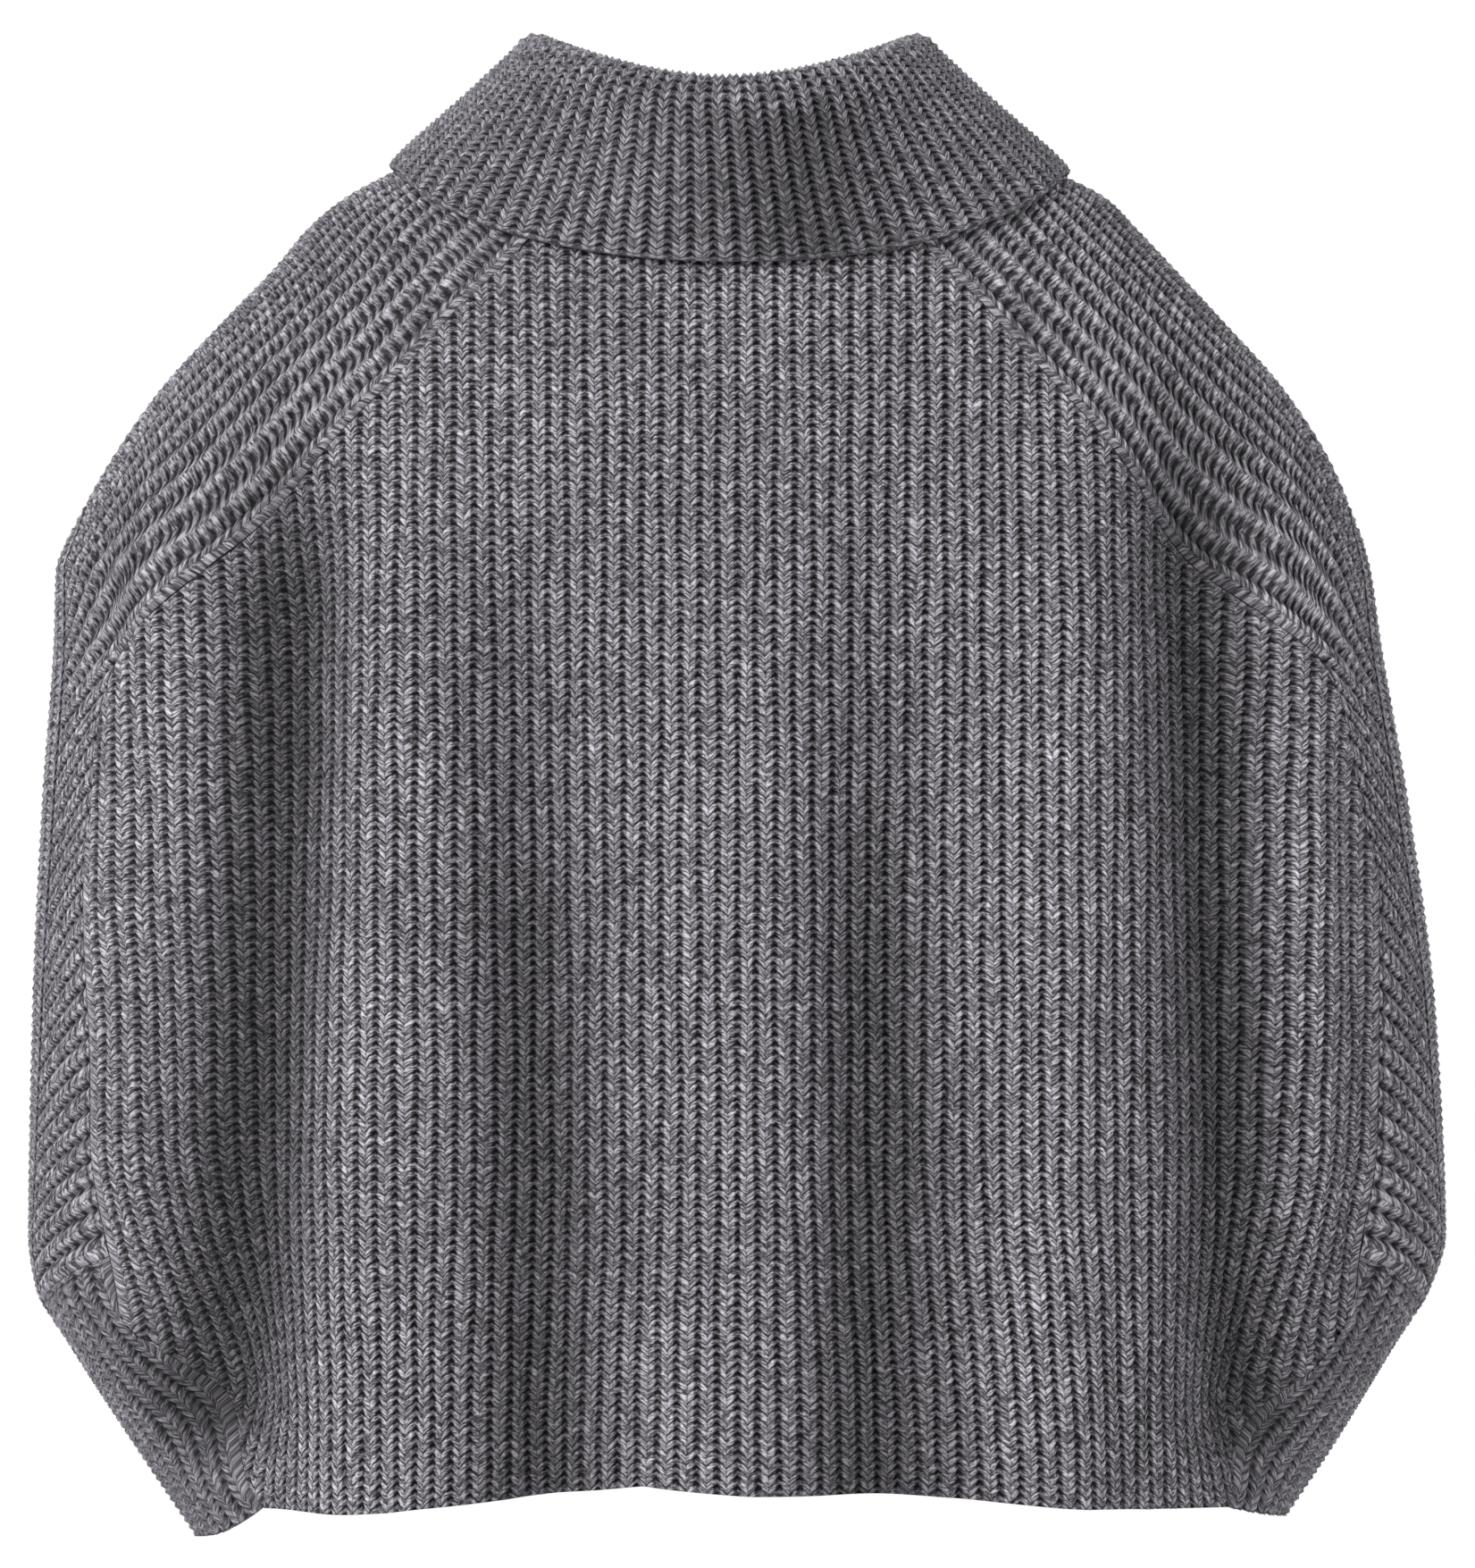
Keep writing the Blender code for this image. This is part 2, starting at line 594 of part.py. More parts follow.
def make_sleeve(name, side, material):
    corner = CORNER_ROW / SLEEVE_ROWS
    corners = [(0, corner), (LOW_SHARE, corner), (LOW_SHARE, 0), (HIGH_SHARE, 0)]
    corners += [(HIGH_SHARE, corner), (1, corner), (1, 1), (0, 1)]
    if side > 0:
        corners.reverse()
    columns = 2 * SLEEVE_RIBS
    inner = (SLEEVE_RIBS, SLEEVE_ROWS // 2)
    knit_wall(name, material, sleeve_place(side), (columns, SLEEVE_ROWS), inner, corners, sleeve_left_out)


# --- Gussets --------------------------------------------------------------------------------------------


def gusset_top(side):
    """Rows (turn, z) of the gusset's upper boundary from the back seam round to the front seam."""
    seam = seam_rows(GUSSET_SEAM, side)[0]
    inside = float(turn_at(seam[0], seam[1], side))
    gap = np.linspace(LOOP_GAP, -LOOP_GAP, LOOP_GAP_STEPS + 1)
    turn, z = loop_line(side, True, gap % 1.0)
    rows = [(inside, seam[1])] + list(zip(turn, z)) + [(180.0 - inside, seam[1])]
    return np.array(rows)


def gusset_place(side):
    top = gusset_top(side)
    half_gap = LOOP_GAP_STEPS / (4.0 * GUSSET_RIBS)
    top_at = np.concatenate([[0.0], np.linspace(0.5 - half_gap, 0.5 + half_gap, LOOP_GAP_STEPS + 1), [1.0]])
    last = GUSSET_ROWS
    seam = on_line(seam_rows(GUSSET_SEAM, side), np.linspace(0.0, 1.0, last + 1))
    tip_z = TIP_RIGHT_Z if side > 0 else TIP_LEFT_Z

    def place(u, v):
        row = np.rint((1.0 - v) * last).astype(int)
        seam_turn = turn_at(seam[row, 0], seam[row, 1], side)
        plain_turn = seam_turn + (180.0 - 2.0 * seam_turn) * u
        top_turn = np.interp(u, top_at, top[:, 0])
        top_z = np.interp(u, top_at, top[:, 1])
        down = (seam[row, 1] - seam[0, 1]) / (seam[last, 1] - seam[0, 1])
        tip = tip_z + (seam[last, 1] - tip_z) * np.abs(2.0 * u - 1.0) ** TIP_POWER
        z = top_z + (tip - top_z) * down
        turn = top_turn * (1.0 - down) + plain_turn * down
        at_seam = np.abs(2.0 * u - 1.0) > 1.0 - 1e-6
        turn = np.where(at_seam, plain_turn, turn)
        z = np.where(at_seam, seam[row, 1], z)
        return side * turn, z

    return place


def make_gusset(name, side, material):
    corners = [(0, 0), (1, 0), (1, 1), (0, 1)]
    if side < 0:
        corners.reverse()
    columns = 2 * GUSSET_RIBS
    inner = (columns, GUSSET_ROWS // INNER_STEP)
    knit_wall(name, material, gusset_place(side), (columns, GUSSET_ROWS), inner, corners)


# --- Bands round the arm openings -------------------------------------------------------------------------

BAND_PROFILE = [(0.0, 0.0), (0.25, 1.0), (0.5, 0.15), (0.75, 1.0), (1.0, 0.2)]  # share across, rib height
BAND_INNER_PROFILE = [0.0, 1.0]


def make_band(name, side, material):
    outer = loop_shares(side)
    gap = np.linspace(1.0 - LOOP_GAP, 1.0 + LOOP_GAP, LOOP_GAP_STEPS + 1)[1:-1] % 1.0
    shares = np.concatenate([outer, gap])
    out_turn, out_z = loop_line(side, True, shares)
    in_turn, in_z = loop_line(side, False, shares)
    bm = bmesh.new()
    loops = []
    profile = [(share, RIB * height) for share, height in BAND_PROFILE]
    profile += [(share, -WALL) for share in reversed(BAND_INNER_PROFILE)]
    for share, lift in profile:
        turn = out_turn + (in_turn - out_turn) * share
        z = out_z + (in_z - out_z) * share
        points = body_points(side * turn, z, lift + 0.0 * z)
        if share == 0.0:
            inset = SEAM_INSET if lift >= 0.0 else INNER_INSET
            next_turn, next_z = turn + (in_turn - out_turn) * 0.1, z + (in_z - out_z) * 0.1
            step = body_points(side * next_turn, next_z, lift + 0.0 * z) - points
            points = points + step / np.linalg.norm(step, axis=1, keepdims=True) * inset
        loops.append([bm.verts.new(point) for point in points])
    for first, second in zip(loops, loops[1:] + loops[:1]):
        for k in range(len(first)):
            n = (k + 1) % len(first)
            bm.faces.new((first[k], first[n], second[n], second[k]))
    finish_piece(bm, name, material)


# --- Collar ---------------------------------------------------------------------------------------------


def quarter_ribs(line, count):
    """count even steps along a line of points, without its last point."""
    return on_line(line, np.arange(count) / count)


def ring_of(line_at, count):
    """Even columns round the neck from the middle of the back, quarter by quarter, towards +X."""
    fine = np.linspace(0.0, 90.0, 120)
    quarters = [fine, 90.0 + fine, 180.0 + fine, 270.0 + fine]
    return np.concatenate([quarter_ribs(line_at(turns), count // 4) for turns in quarters])


def neck_line(turn, drop=0.0):
    wrapped = (turn + 180.0) % 360.0 - 180.0
    return base_points(wrapped, neck_z(wrapped) - drop)[0]


def neck_ring(count):
    """Points of the neck seam and the directions in which the cloth climbs square to it."""
    neck = ring_of(neck_line, count)
    below = ring_of(lambda turn: neck_line(turn, FOOT_STEP), count)
    along = np.roll(neck, -1, axis=0) - np.roll(neck, 1, axis=0)
    along /= np.linalg.norm(along, axis=1, keepdims=True)
    climb = neck - below
    climb -= along * np.sum(climb * along, axis=1, keepdims=True)
    return neck, climb / np.linalg.norm(climb, axis=1, keepdims=True)


def fold_line(turn):
    angle = np.radians(turn)
    back = np.cos(angle) > 0
    low_z = np.where(back, FOLD_BACK_Z, FOLD_FRONT_Z)
    rise = np.abs(np.sin(angle)) ** FOLD_RISE_POWER
    x = FOLD_X + FOLD_HALF_WIDTH * np.sin(angle)
    y = -np.where(back, FOLD_BACK, FOLD_FRONT) * np.cos(angle)
    return np.stack([x, y, low_z + (FOLD_SIDE_Z - low_z) * rise], axis=-1)


def turned_edge(turn):
    wrapped = (turn + 180.0) % 360.0 - 180.0
    cosine = np.cos(np.radians(wrapped))
    low_z = np.where(cosine > 0, TURN_BACK_Z, TURN_FRONT_Z)
    side_z = np.where(wrapped > 0, TURN_RIGHT_Z, TURN_LEFT_Z)
    z = side_z + (low_z - side_z) * np.abs(cosine) ** TURN_POWER
    clear = TURN_SIDE_CLEAR + (TURN_CLEAR - TURN_SIDE_CLEAR) * cosine**2
    return body_points(wrapped, z, RIB + clear)


def collar_layers(count):
    """Points [column, step] of the collar's plain inner face: neck seam, fold, turned-down edge."""
    neck, climb = neck_ring(count)
    fold = ring_of(fold_line, count)
    edge = ring_of(turned_edge, count)
    outward = edge - neck
    outward[:, 2] = 0.0
    outward /= np.linalg.norm(outward, axis=1, keepdims=True)
    up = np.array([0.0, 0.0, 1.0])
    inner = fold - outward * FOLD_GAP - up * FOLD_DROP
    outer = fold + outward * FOLD_GAP - up * FOLD_DROP
    foot = neck + climb * FOOT_CLEAR
    fall = edge - outer
    bulge = np.cross(np.roll(edge, -1, axis=0) - np.roll(edge, 1, axis=0), fall)
    bulge /= -np.linalg.norm(bulge, axis=1, keepdims=True)
    bulge *= TURN_BULGE + (TURN_SIDE_BULGE - TURN_BULGE) * outward[:, :1] ** 2
    steps = [
        foot,
        0.5 * (foot + inner),
        inner,
        fold,
        outer,
        outer + fall / 3.0 + bulge,
        edge - fall / 3.0 + bulge,
        edge,
    ]
    return np.stack(steps, axis=1)


def ring_normals(points):
    """Unit normals of a closed ring of columns, on the side away from the collar's hollow. At the foot
    they are the body's own, so that the collar stands on the seam."""
    along = np.roll(points, -1, axis=0) - np.roll(points, 1, axis=0)
    onward = np.gradient(points, axis=1)
    onward[:, 0] = neck_ring(len(points))[1]
    normal = np.cross(onward, along)
    return normal / np.linalg.norm(normal, axis=-1, keepdims=True)


def make_collar(name, material):
    columns = 2 * COLLAR_RIBS
    fine = collar_layers(columns)
    lift = WALL + RIB * (np.arange(columns) % 2)
    raised = fine + ring_normals(fine) * lift[:, None, None]
    plain = collar_layers(columns // COLLAR_INNER_STEP)
    bm = bmesh.new()
    rims = []
    for points in (raised, plain):
        closed = np.concatenate([points, points[:1]], axis=0)
        verts = grid_verts(bm, closed)
        for first, last in zip(verts[0], verts[-1]):
            bmesh.ops.weld_verts(bm, targetmap={last: first})
        count = len(points)
        rims.append([[(k / count, verts[k][row]) for k in range(count)] for row in (0, -1)])
    for end in range(2):
        loft_rims(bm, rims[0][end], rims[1][end], 1.0)
    finish_piece(bm, name, material)


# --- The garment ----------------------------------------------------------------------------------------


def knit_material(name, colour):
    material = bpy.data.materials.new(name)
    material.use_nodes = True
    shader = material.node_tree.nodes["Principled BSDF"]
    shader.inputs["Base Color"].default_value = colour
    shader.inputs["Roughness"].default_value = KNIT_ROUGHNESS
    shader.inputs["Metallic"].default_value = 0.0
    return material


for old in list(bpy.data.objects):
    bpy.data.objects.remove(old)
garment = bpy.data.collections.new("poncho_sweater")
bpy.context.scene.collection.children.link(garment)

make_panel("back_panel", False, knit_material("back_knit", GREY))
make_panel("front_panel", True, knit_material("front_knit", GREY))
for side_name, side_sign in (("left", -1), ("right", 1)):
    make_sleeve("sleeve_" + side_name, side_sign, knit_material("sleeve_knit_" + side_name, GREY))
    make_band("armhole_band_" + side_name, side_sign, knit_material("band_knit_" + side_name, GREY_BAND))
    make_gusset("gusset_" + side_name, side_sign, knit_material("gusset_knit_" + side_name, GREY))
make_collar("collar", knit_material("collar_knit", GREY))
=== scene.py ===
# %% [markdown]
# # A knitted poncho sweater
# The garment is a wide rib-knitted poncho: a back and a front panel, two sleeve panels that run over
# the shoulders, a band round each arm opening, a gusset below each arm and a deep turned-down collar.
# Each piece is one wall of thick yarn. Here every wall becomes a fine grid whose vertices are raised
# into single stitches, and the yarn's twist and heather colour are left to the material.

# %% Open the frame
from collections import namedtuple

import bmesh
import bpy
import numpy as np
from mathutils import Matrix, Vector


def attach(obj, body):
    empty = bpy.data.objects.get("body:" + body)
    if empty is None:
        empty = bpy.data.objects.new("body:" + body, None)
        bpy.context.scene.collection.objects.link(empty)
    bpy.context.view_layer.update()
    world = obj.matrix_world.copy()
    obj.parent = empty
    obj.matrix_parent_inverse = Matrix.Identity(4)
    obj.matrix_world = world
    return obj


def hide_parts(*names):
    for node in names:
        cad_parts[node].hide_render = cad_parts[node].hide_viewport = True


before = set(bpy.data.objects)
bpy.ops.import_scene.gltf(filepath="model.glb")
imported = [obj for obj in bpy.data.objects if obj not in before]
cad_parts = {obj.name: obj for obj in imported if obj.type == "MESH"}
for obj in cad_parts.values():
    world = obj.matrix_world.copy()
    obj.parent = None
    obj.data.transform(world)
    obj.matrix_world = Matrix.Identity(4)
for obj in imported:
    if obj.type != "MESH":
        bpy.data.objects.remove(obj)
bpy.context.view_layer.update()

# %% [markdown]
# ## The hanging form
# All pieces lie on one smooth body form, so that their seams meet. It could be sculpted, but a table of
# level sections is easier to measure and to change: half widths to the left and right and half depths
# to the back and front, all in metres. A smooth curve through the rows gives any height between them.

# %% Sections of the body
WALL = 0.0030  # thickness of the cloth under a valley
ROUNDNESS = 2.2  # exponent of the sections: 2 is an ellipse, more is boxier

Section = namedtuple("Section", "z left right back front")
BODY = [
    Section(0.0216, 0.105, 0.090, 0.048, 0.050),
    Section(0.0090, 0.128, 0.112, 0.062, 0.064),
    Section(-0.0014, 0.147, 0.132, 0.071, 0.075),
    Section(-0.0135, 0.167, 0.153, 0.080, 0.085),
    Section(-0.0300, 0.197, 0.185, 0.090, 0.097),
    Section(-0.0450, 0.215, 0.200, 0.097, 0.106),
    Section(-0.0630, 0.230, 0.217, 0.104, 0.115),
    Section(-0.0900, 0.256, 0.242, 0.113, 0.127),
    Section(-0.1260, 0.289, 0.274, 0.123, 0.139),
    Section(-0.1620, 0.314, 0.297, 0.131, 0.147),
    Section(-0.1980, 0.334, 0.312, 0.137, 0.152),
    Section(-0.2160, 0.342, 0.318, 0.139, 0.154),
    Section(-0.2520, 0.344, 0.324, 0.143, 0.157),
    Section(-0.3330, 0.350, 0.338, 0.149, 0.160),
    Section(-0.4410, 0.354, 0.351, 0.152, 0.158),
    Section(-0.5490, 0.355, 0.355, 0.152, 0.154),
    Section(-0.5760, 0.351, 0.347, 0.152, 0.152),
    Section(-0.6030, 0.335, 0.330, 0.151, 0.150),
    Section(-0.6570, 0.300, 0.297, 0.148, 0.148),
    Section(-0.7000, 0.271, 0.268, 0.145, 0.146),
]
print("body sections:", len(BODY), "widest:", max(row.left + row.right for row in BODY), "m")


# %% The smooth form
def curve_between(first, last, slope_first, slope_last, size, t):
    """A smooth curve from first to last with these slopes at its ends, at share t of its size."""
    rise = t * t * (3.0 - 2.0 * t)
    value = first * (1.0 - rise) + last * rise
    return value + size * (slope_first * t * (1.0 - t) ** 2 - slope_last * t * t * (1.0 - t))


def smooth_column(rows, name, at):
    """Value of a table's column at the heights in at, on a smooth curve through its rows."""
    knots = np.array([row.z for row in rows])[::-1]
    values = np.array([getattr(row, name) for row in rows])[::-1]
    steps = np.diff(knots)
    slopes = np.diff(values) / steps
    tangents = np.zeros(len(knots))
    tangents[0], tangents[-1] = slopes[0], slopes[-1]
    same_sign = slopes[:-1] * slopes[1:] > 0
    pair = np.where(same_sign, slopes[:-1] + slopes[1:], 1.0)
    tangents[1:-1] = np.where(same_sign, 2.0 * slopes[:-1] * slopes[1:] / pair, 0.0)
    at = np.clip(np.asarray(at, dtype=float), knots[0], knots[-1])
    cell = np.clip(np.searchsorted(knots, at) - 1, 0, len(steps) - 1)
    t = (at - knots[cell]) / steps[cell]
    return curve_between(values[cell], values[cell + 1], tangents[cell], tangents[cell + 1], steps[cell], t)


def signed_power(value, power):
    return np.sign(value) * np.abs(value) ** power


def smooth_step(value):
    value = np.clip(value, 0.0, 1.0)
    return value * value * (3.0 - 2.0 * value)


def half_width(z, right):
    return np.where(right, smooth_column(BODY, "right", z), smooth_column(BODY, "left", z))


def half_depth(z, at_back):
    return np.where(at_back, smooth_column(BODY, "back", z), smooth_column(BODY, "front", z))


def form_points(turn, z):
    """Points of the smooth form. turn is in degrees from the middle of the back, + to +X."""
    angle = np.radians(turn)
    x = half_width(z, angle > 0) * signed_power(np.sin(angle), 2.0 / ROUNDNESS)
    y = -half_depth(z, np.cos(angle) > 0) * signed_power(np.cos(angle), 2.0 / ROUNDNESS)
    return np.stack([x, y, z + 0.0 * x], axis=-1)


print("middle of the back:", np.round(form_points(np.zeros(1), np.full(1, -0.35)), 3)[0])

# %% [markdown]
# ## Folds
# Heavy knit falls from the shoulders in a few long, soft troughs and ridges. A cloth simulation would
# put them anywhere, so they are listed one by one: each follows a bent line from top to bottom, has a
# half width and a push, and fades in and out. The smaller ones at the end of the table break up the
# even surface between the main folds.

# %% Fold table
Fold = namedtuple("Fold", "half x_top x_mid x_low z_top z_low run_in run_out width push")
FOLDS = [
    Fold("back", -0.219, -0.237, -0.267, -0.130, -0.680, 0.120, 0.050, 0.034, -0.031),
    Fold("back", 0.218, 0.243, 0.255, -0.080, -0.690, 0.150, 0.060, 0.027, -0.026),
    Fold("back", -0.132, -0.104, -0.101, -0.080, -0.760, 0.420, 0.060, 0.032, -0.026),
    Fold("back", 0.061, 0.071, 0.071, -0.100, -0.760, 0.420, 0.060, 0.032, -0.026),
    Fold("back", -0.181, -0.187, -0.195, -0.120, -0.760, 0.120, 0.060, 0.024, 0.010),
    Fold("back", -0.004, -0.012, -0.020, -0.230, -0.760, 0.160, 0.060, 0.032, 0.007),
    Fold("back", 0.172, 0.162, 0.165, -0.120, -0.760, 0.140, 0.060, 0.026, 0.010),
    Fold("back", -0.273, -0.302, -0.324, -0.150, -0.470, 0.100, 0.100, 0.020, 0.007),
    Fold("back", 0.273, 0.293, 0.298, -0.130, -0.560, 0.100, 0.120, 0.021, 0.007),
    Fold("front", -0.198, -0.221, -0.236, -0.130, -0.690, 0.140, 0.080, 0.030, -0.027),
    Fold("front", 0.204, 0.214, 0.240, -0.120, -0.690, 0.120, 0.080, 0.030, -0.026),
    Fold("front", -0.052, -0.066, -0.074, -0.180, -0.760, 0.400, 0.060, 0.032, -0.024),
    Fold("front", 0.086, 0.098, 0.092, -0.160, -0.760, 0.400, 0.060, 0.031, -0.023),
    Fold("front", -0.136, -0.142, -0.148, -0.160, -0.760, 0.160, 0.060, 0.028, 0.010),
    Fold("front", 0.016, 0.018, 0.010, -0.200, -0.760, 0.220, 0.060, 0.034, 0.008),
    Fold("front", 0.150, 0.152, 0.164, -0.150, -0.760, 0.150, 0.060, 0.026, 0.010),
    # smaller ones
    Fold("back", -0.306, -0.296, -0.287, -0.250, -0.600, 0.080, 0.080, 0.010, -0.0050),
    Fold("back", 0.298, 0.308, 0.310, -0.260, -0.620, 0.090, 0.080, 0.011, -0.0050),
    Fold("back", -0.053, -0.051, -0.059, -0.420, -0.760, 0.160, 0.060, 0.014, -0.0045),
    Fold("back", 0.120, 0.114, 0.118, -0.460, -0.760, 0.140, 0.060, 0.013, -0.0045),
    Fold("front", -0.290, -0.294, -0.284, -0.260, -0.610, 0.090, 0.080, 0.011, -0.0050),
    Fold("front", 0.294, 0.300, 0.290, -0.240, -0.600, 0.080, 0.080, 0.011, -0.0050),
    Fold("front", -0.016, -0.020, -0.024, -0.440, -0.760, 0.150, 0.060, 0.013, -0.0045),
]
FOLD_EDGE = 0.07  # folds die out over this share of the half width beside the arm openings
print("folds:", len(FOLDS), "deepest:", min(fold.push for fold in FOLDS))


# %% The folded cloth
def fold_push(points, turn):
    """How far the folds move the cloth outwards."""
    x, z = points[..., 0], points[..., 2]
    at_back = np.cos(np.radians(turn)) > 0
    push = np.zeros(x.shape)
    for fold in FOLDS:
        middle = 0.5 * (fold.z_top + fold.z_low)
        t = (fold.z_top - z) / (fold.z_top - middle)
        bend = 0.5 * (fold.x_top + fold.x_low) - fold.x_mid
        line = fold.x_mid + (t - 1.0) * 0.5 * (fold.x_low - fold.x_top) + (t - 1.0) ** 2 * bend
        strength = smooth_step((fold.z_top - z) / fold.run_in)
        strength *= smooth_step((z - fold.z_low) / fold.run_out)
        there = at_back if fold.half == "back" else ~at_back
        push += there * fold.push * strength * np.exp(-(((x - line) / fold.width) ** 2))
    share = np.abs(x) / half_width(z, x > 0)
    return push * smooth_step((1.0 - share) / FOLD_EDGE)


def cloth_points(turn, z, lift=0.0):
    """Points of the folded cloth, lifted outwards by lift."""
    small_turn, small_z = 0.4, 0.0015
    round_it = form_points(turn + small_turn, z) - form_points(turn - small_turn, z)
    up_it = form_points(turn, z + small_z) - form_points(turn, z - small_z)
    normal = np.cross(round_it, up_it)
    normal /= np.linalg.norm(normal, axis=-1, keepdims=True)
    points = form_points(turn, z)
    return points + normal * (fold_push(points, turn) + lift)[..., None]


def turn_at(x, z, side, front=False):
    """Degrees from the middle of the back at which the body is x to that side, at the back or front."""
    share = np.clip(np.abs(x) / half_width(z, side > 0), 0.0, 1.0)
    turn = np.degrees(np.arcsin(share ** (ROUNDNESS / 2.0)))
    return 180.0 - turn if front else turn


print("folded there:", np.round(cloth_points(np.zeros(1), np.full(1, -0.35)), 3)[0])

# %% [markdown]
# ## A stitch
# In this rib every column of stitches stands proud like a row of stacked V's, and the columns are parted by
# a dark valley that small rungs of yarn cross. Single loops of yarn could be swept tubes, but thousands of
# them would be far too heavy. So one stitch is 4 vertices across and 2 along: the valley, a leg, the groove
# between the legs and the other leg, each on a crest row and on a groove row. A table gives how high each
# of them stands. The legs slant, so the rows of the grid drop from the valley to the middle of the column,
# which makes the V. On the shoulders the ribs are a ladder, a narrow ridge beside a wide trough with
# rungs, and take 8 vertices across and 4 along.

# %% Stitch profiles
Knit = namedtuple("Knit", "across low high")


def mirrored(half):
    """A whole profile from its first half, because both halves of a column are alike."""
    return half + [Knit(1.0 - row.across, row.low, row.high) for row in half[-2::-1]]


# place across one column, height on the groove row and on the crest row
RIB = mirrored([Knit(0.0, -0.0018, 0.0004), Knit(0.28, 0.0014, 0.0028), Knit(0.5, 0.0008, 0.0017)])
# the sleeves' knit: a wide trough with rungs, then a narrow ridge
LADDER = mirrored([
    Knit(0.0, -0.0018, 0.0004),
    Knit(0.125, -0.0015, 0.0005),
    Knit(0.25, -0.0004, 0.0010),
    Knit(0.375, 0.0014, 0.0022),
    Knit(0.5, 0.0019, 0.0027),
])
STITCH = 0.0045  # height of one stitch
SLANT = 0.95  # stitches that a leg drops on its way to the middle of the column
LEG_END = 0.80  # where a leg starts, between the middle of the column (0) and its valley (1)
LEG_INSET = 0.03  # the grid's lines close up by this share of a column, to follow the legs


def knit_height(profile, across, along):
    """Height over the cloth's base, at a place across a column and along it, in stitches."""
    across = across % 1.0
    places = [row.across for row in profile]
    low = np.interp(across, places, [row.low for row in profile])
    high = np.interp(across, places, [row.high for row in profile])
    crest = 0.5 - 0.5 * np.cos(2.0 * np.pi * along)
    return low + (high - low) * crest


def slant(across):
    """How far, in stitches, the rows have dropped at a place across a column."""
    return SLANT * np.clip(1.0 - np.abs(2.0 * (across % 1.0) - 1.0) / LEG_END, 0.0, 1.0)


print("stitch:", STITCH, "m high, legs stand", max(row.high for row in RIB), "m proud")

# %% [markdown]
# ## From grid to wall
# Each piece starts as two grid primitives: a fine one for the outer face and a coarse one for the plain
# inner face. Their vertices are moved onto the cloth, doubles are merged where a shaped edge closes a
# row, and a strip of faces zips the two rims together, so that the piece is one closed wall with its
# normals outwards. The UV map holds the stitch count instead of a picture's corners: U counts columns
# and V counts stitches, and the material draws the yarn from them.

# %% A grid on the cloth
DEEP_FOLD = 0.030  # a fold this deep gets the full painted shade, 1 in the attribute that carries it
MERGE = 0.00004  # points of one sheet that lie closer than this become one
TINY = 1e-6  # slack where a place is compared with an edge


def cloth_marks(points, ladder=0.0, painted_shade_depth=0.0):
    """What the material reads at each point: 1 for ladder knit, and how deep it lies in a fold, which sets
    how much shade is painted there.
    """
    turn = np.where(points[..., 1] < 0.0, 0.0, 180.0)
    return {"ladder": ladder + 0.0 * turn, "painted_shade_depth": painted_shade_depth - fold_push(points, turn) / DEEP_FOLD}


def select_nothing():
    for thing in bpy.context.selected_objects:
        thing.select_set(False)


def place_grid(name, points, rib, stitch, marks, used=None):
    """A grid primitive moved onto points[column, row]. rib and stitch make its UV, marks its
    attributes, and points that aren't used are deleted."""
    select_nothing()
    columns, rows = points.shape[0] - 1, points.shape[1] - 1
    bpy.ops.mesh.primitive_grid_add(x_subdivisions=columns, y_subdivisions=rows, size=1.0)
    grid = bpy.context.active_object
    grid.name = name
    mesh = grid.data
    in_order = np.swapaxes(points, 0, 1).reshape(-1, 3)
    mesh.vertices.foreach_set("co", in_order.ravel())
    corner = np.zeros(len(mesh.loops), dtype=np.int32)
    mesh.loops.foreach_get("vertex_index", corner)
    uv = np.stack([rib.T.ravel(), stitch.T.ravel()], axis=-1)[corner]
    mesh.uv_layers[0].data.foreach_set("uv", uv.ravel())
    for label, values in marks.items():
        mark = mesh.attributes.new(label, "FLOAT", "POINT")
        mark.data.foreach_set("value", values.T.ravel())
    if used is not None:
        bm = bmesh.new()
        bm.from_mesh(mesh)
        bm.verts.ensure_lookup_table()
        drop = [bm.verts[i] for i in np.nonzero(~used.T.ravel())[0]]
        bmesh.ops.delete(bm, geom=drop, context="VERTS")
        bm.to_mesh(mesh)
        bm.free()
    return grid


# %% Zip two rims
def rim_loops(faces):
    """The open rims of a sheet of faces, each as an ordered list of vertices."""
    follow = {}
    for face in faces:
        for loop in face.loops:
            if len(loop.edge.link_faces) == 1:
                follow[loop.vert] = loop.link_loop_next.vert
    rims = []
    while follow:
        start = next(iter(follow))
        rim, here = [], start
        while here in follow:
            rim.append(here)
            here = follow.pop(here)
        rims.append(rim)
    return rims


def zip_rims(bm, first, second):
    """Faces between two rims that run the same way, each step taking the shorter diagonal."""
    start = min(range(len(second)), key=lambda k: (second[k].co - first[0].co).length)
    second = second[start:] + second[:start]
    first = first + first[:1]
    second = second + second[:1]
    i, j = 0, 0
    while i < len(first) - 1 or j < len(second) - 1:
        step_first = j == len(second) - 1
        if not step_first and i < len(first) - 1:
            go_first = (first[i + 1].co - second[j].co).length
            step_first = go_first <= (second[j + 1].co - first[i].co).length
        if step_first:
            bm.faces.new((first[i + 1], first[i], second[j]))
            i += 1
        else:
            bm.faces.new((first[i], second[j], second[j + 1]))
            j += 1


# %% Close a wall
def finish_wall(bm, piece):
    """Turns the faces outwards, shades them smooth and puts them into the piece."""
    bmesh.ops.recalc_face_normals(bm, faces=bm.faces[:])
    open_edges = sum(1 for edge in bm.edges if len(edge.link_faces) != 2)
    for face in bm.faces:
        face.smooth = True
    bm.to_mesh(piece.data)
    bm.free()
    triangles = sum(len(face.vertices) - 2 for face in piece.data.polygons)
    print(piece.name, "triangles:", triangles, "open edges:", open_edges)
    return piece


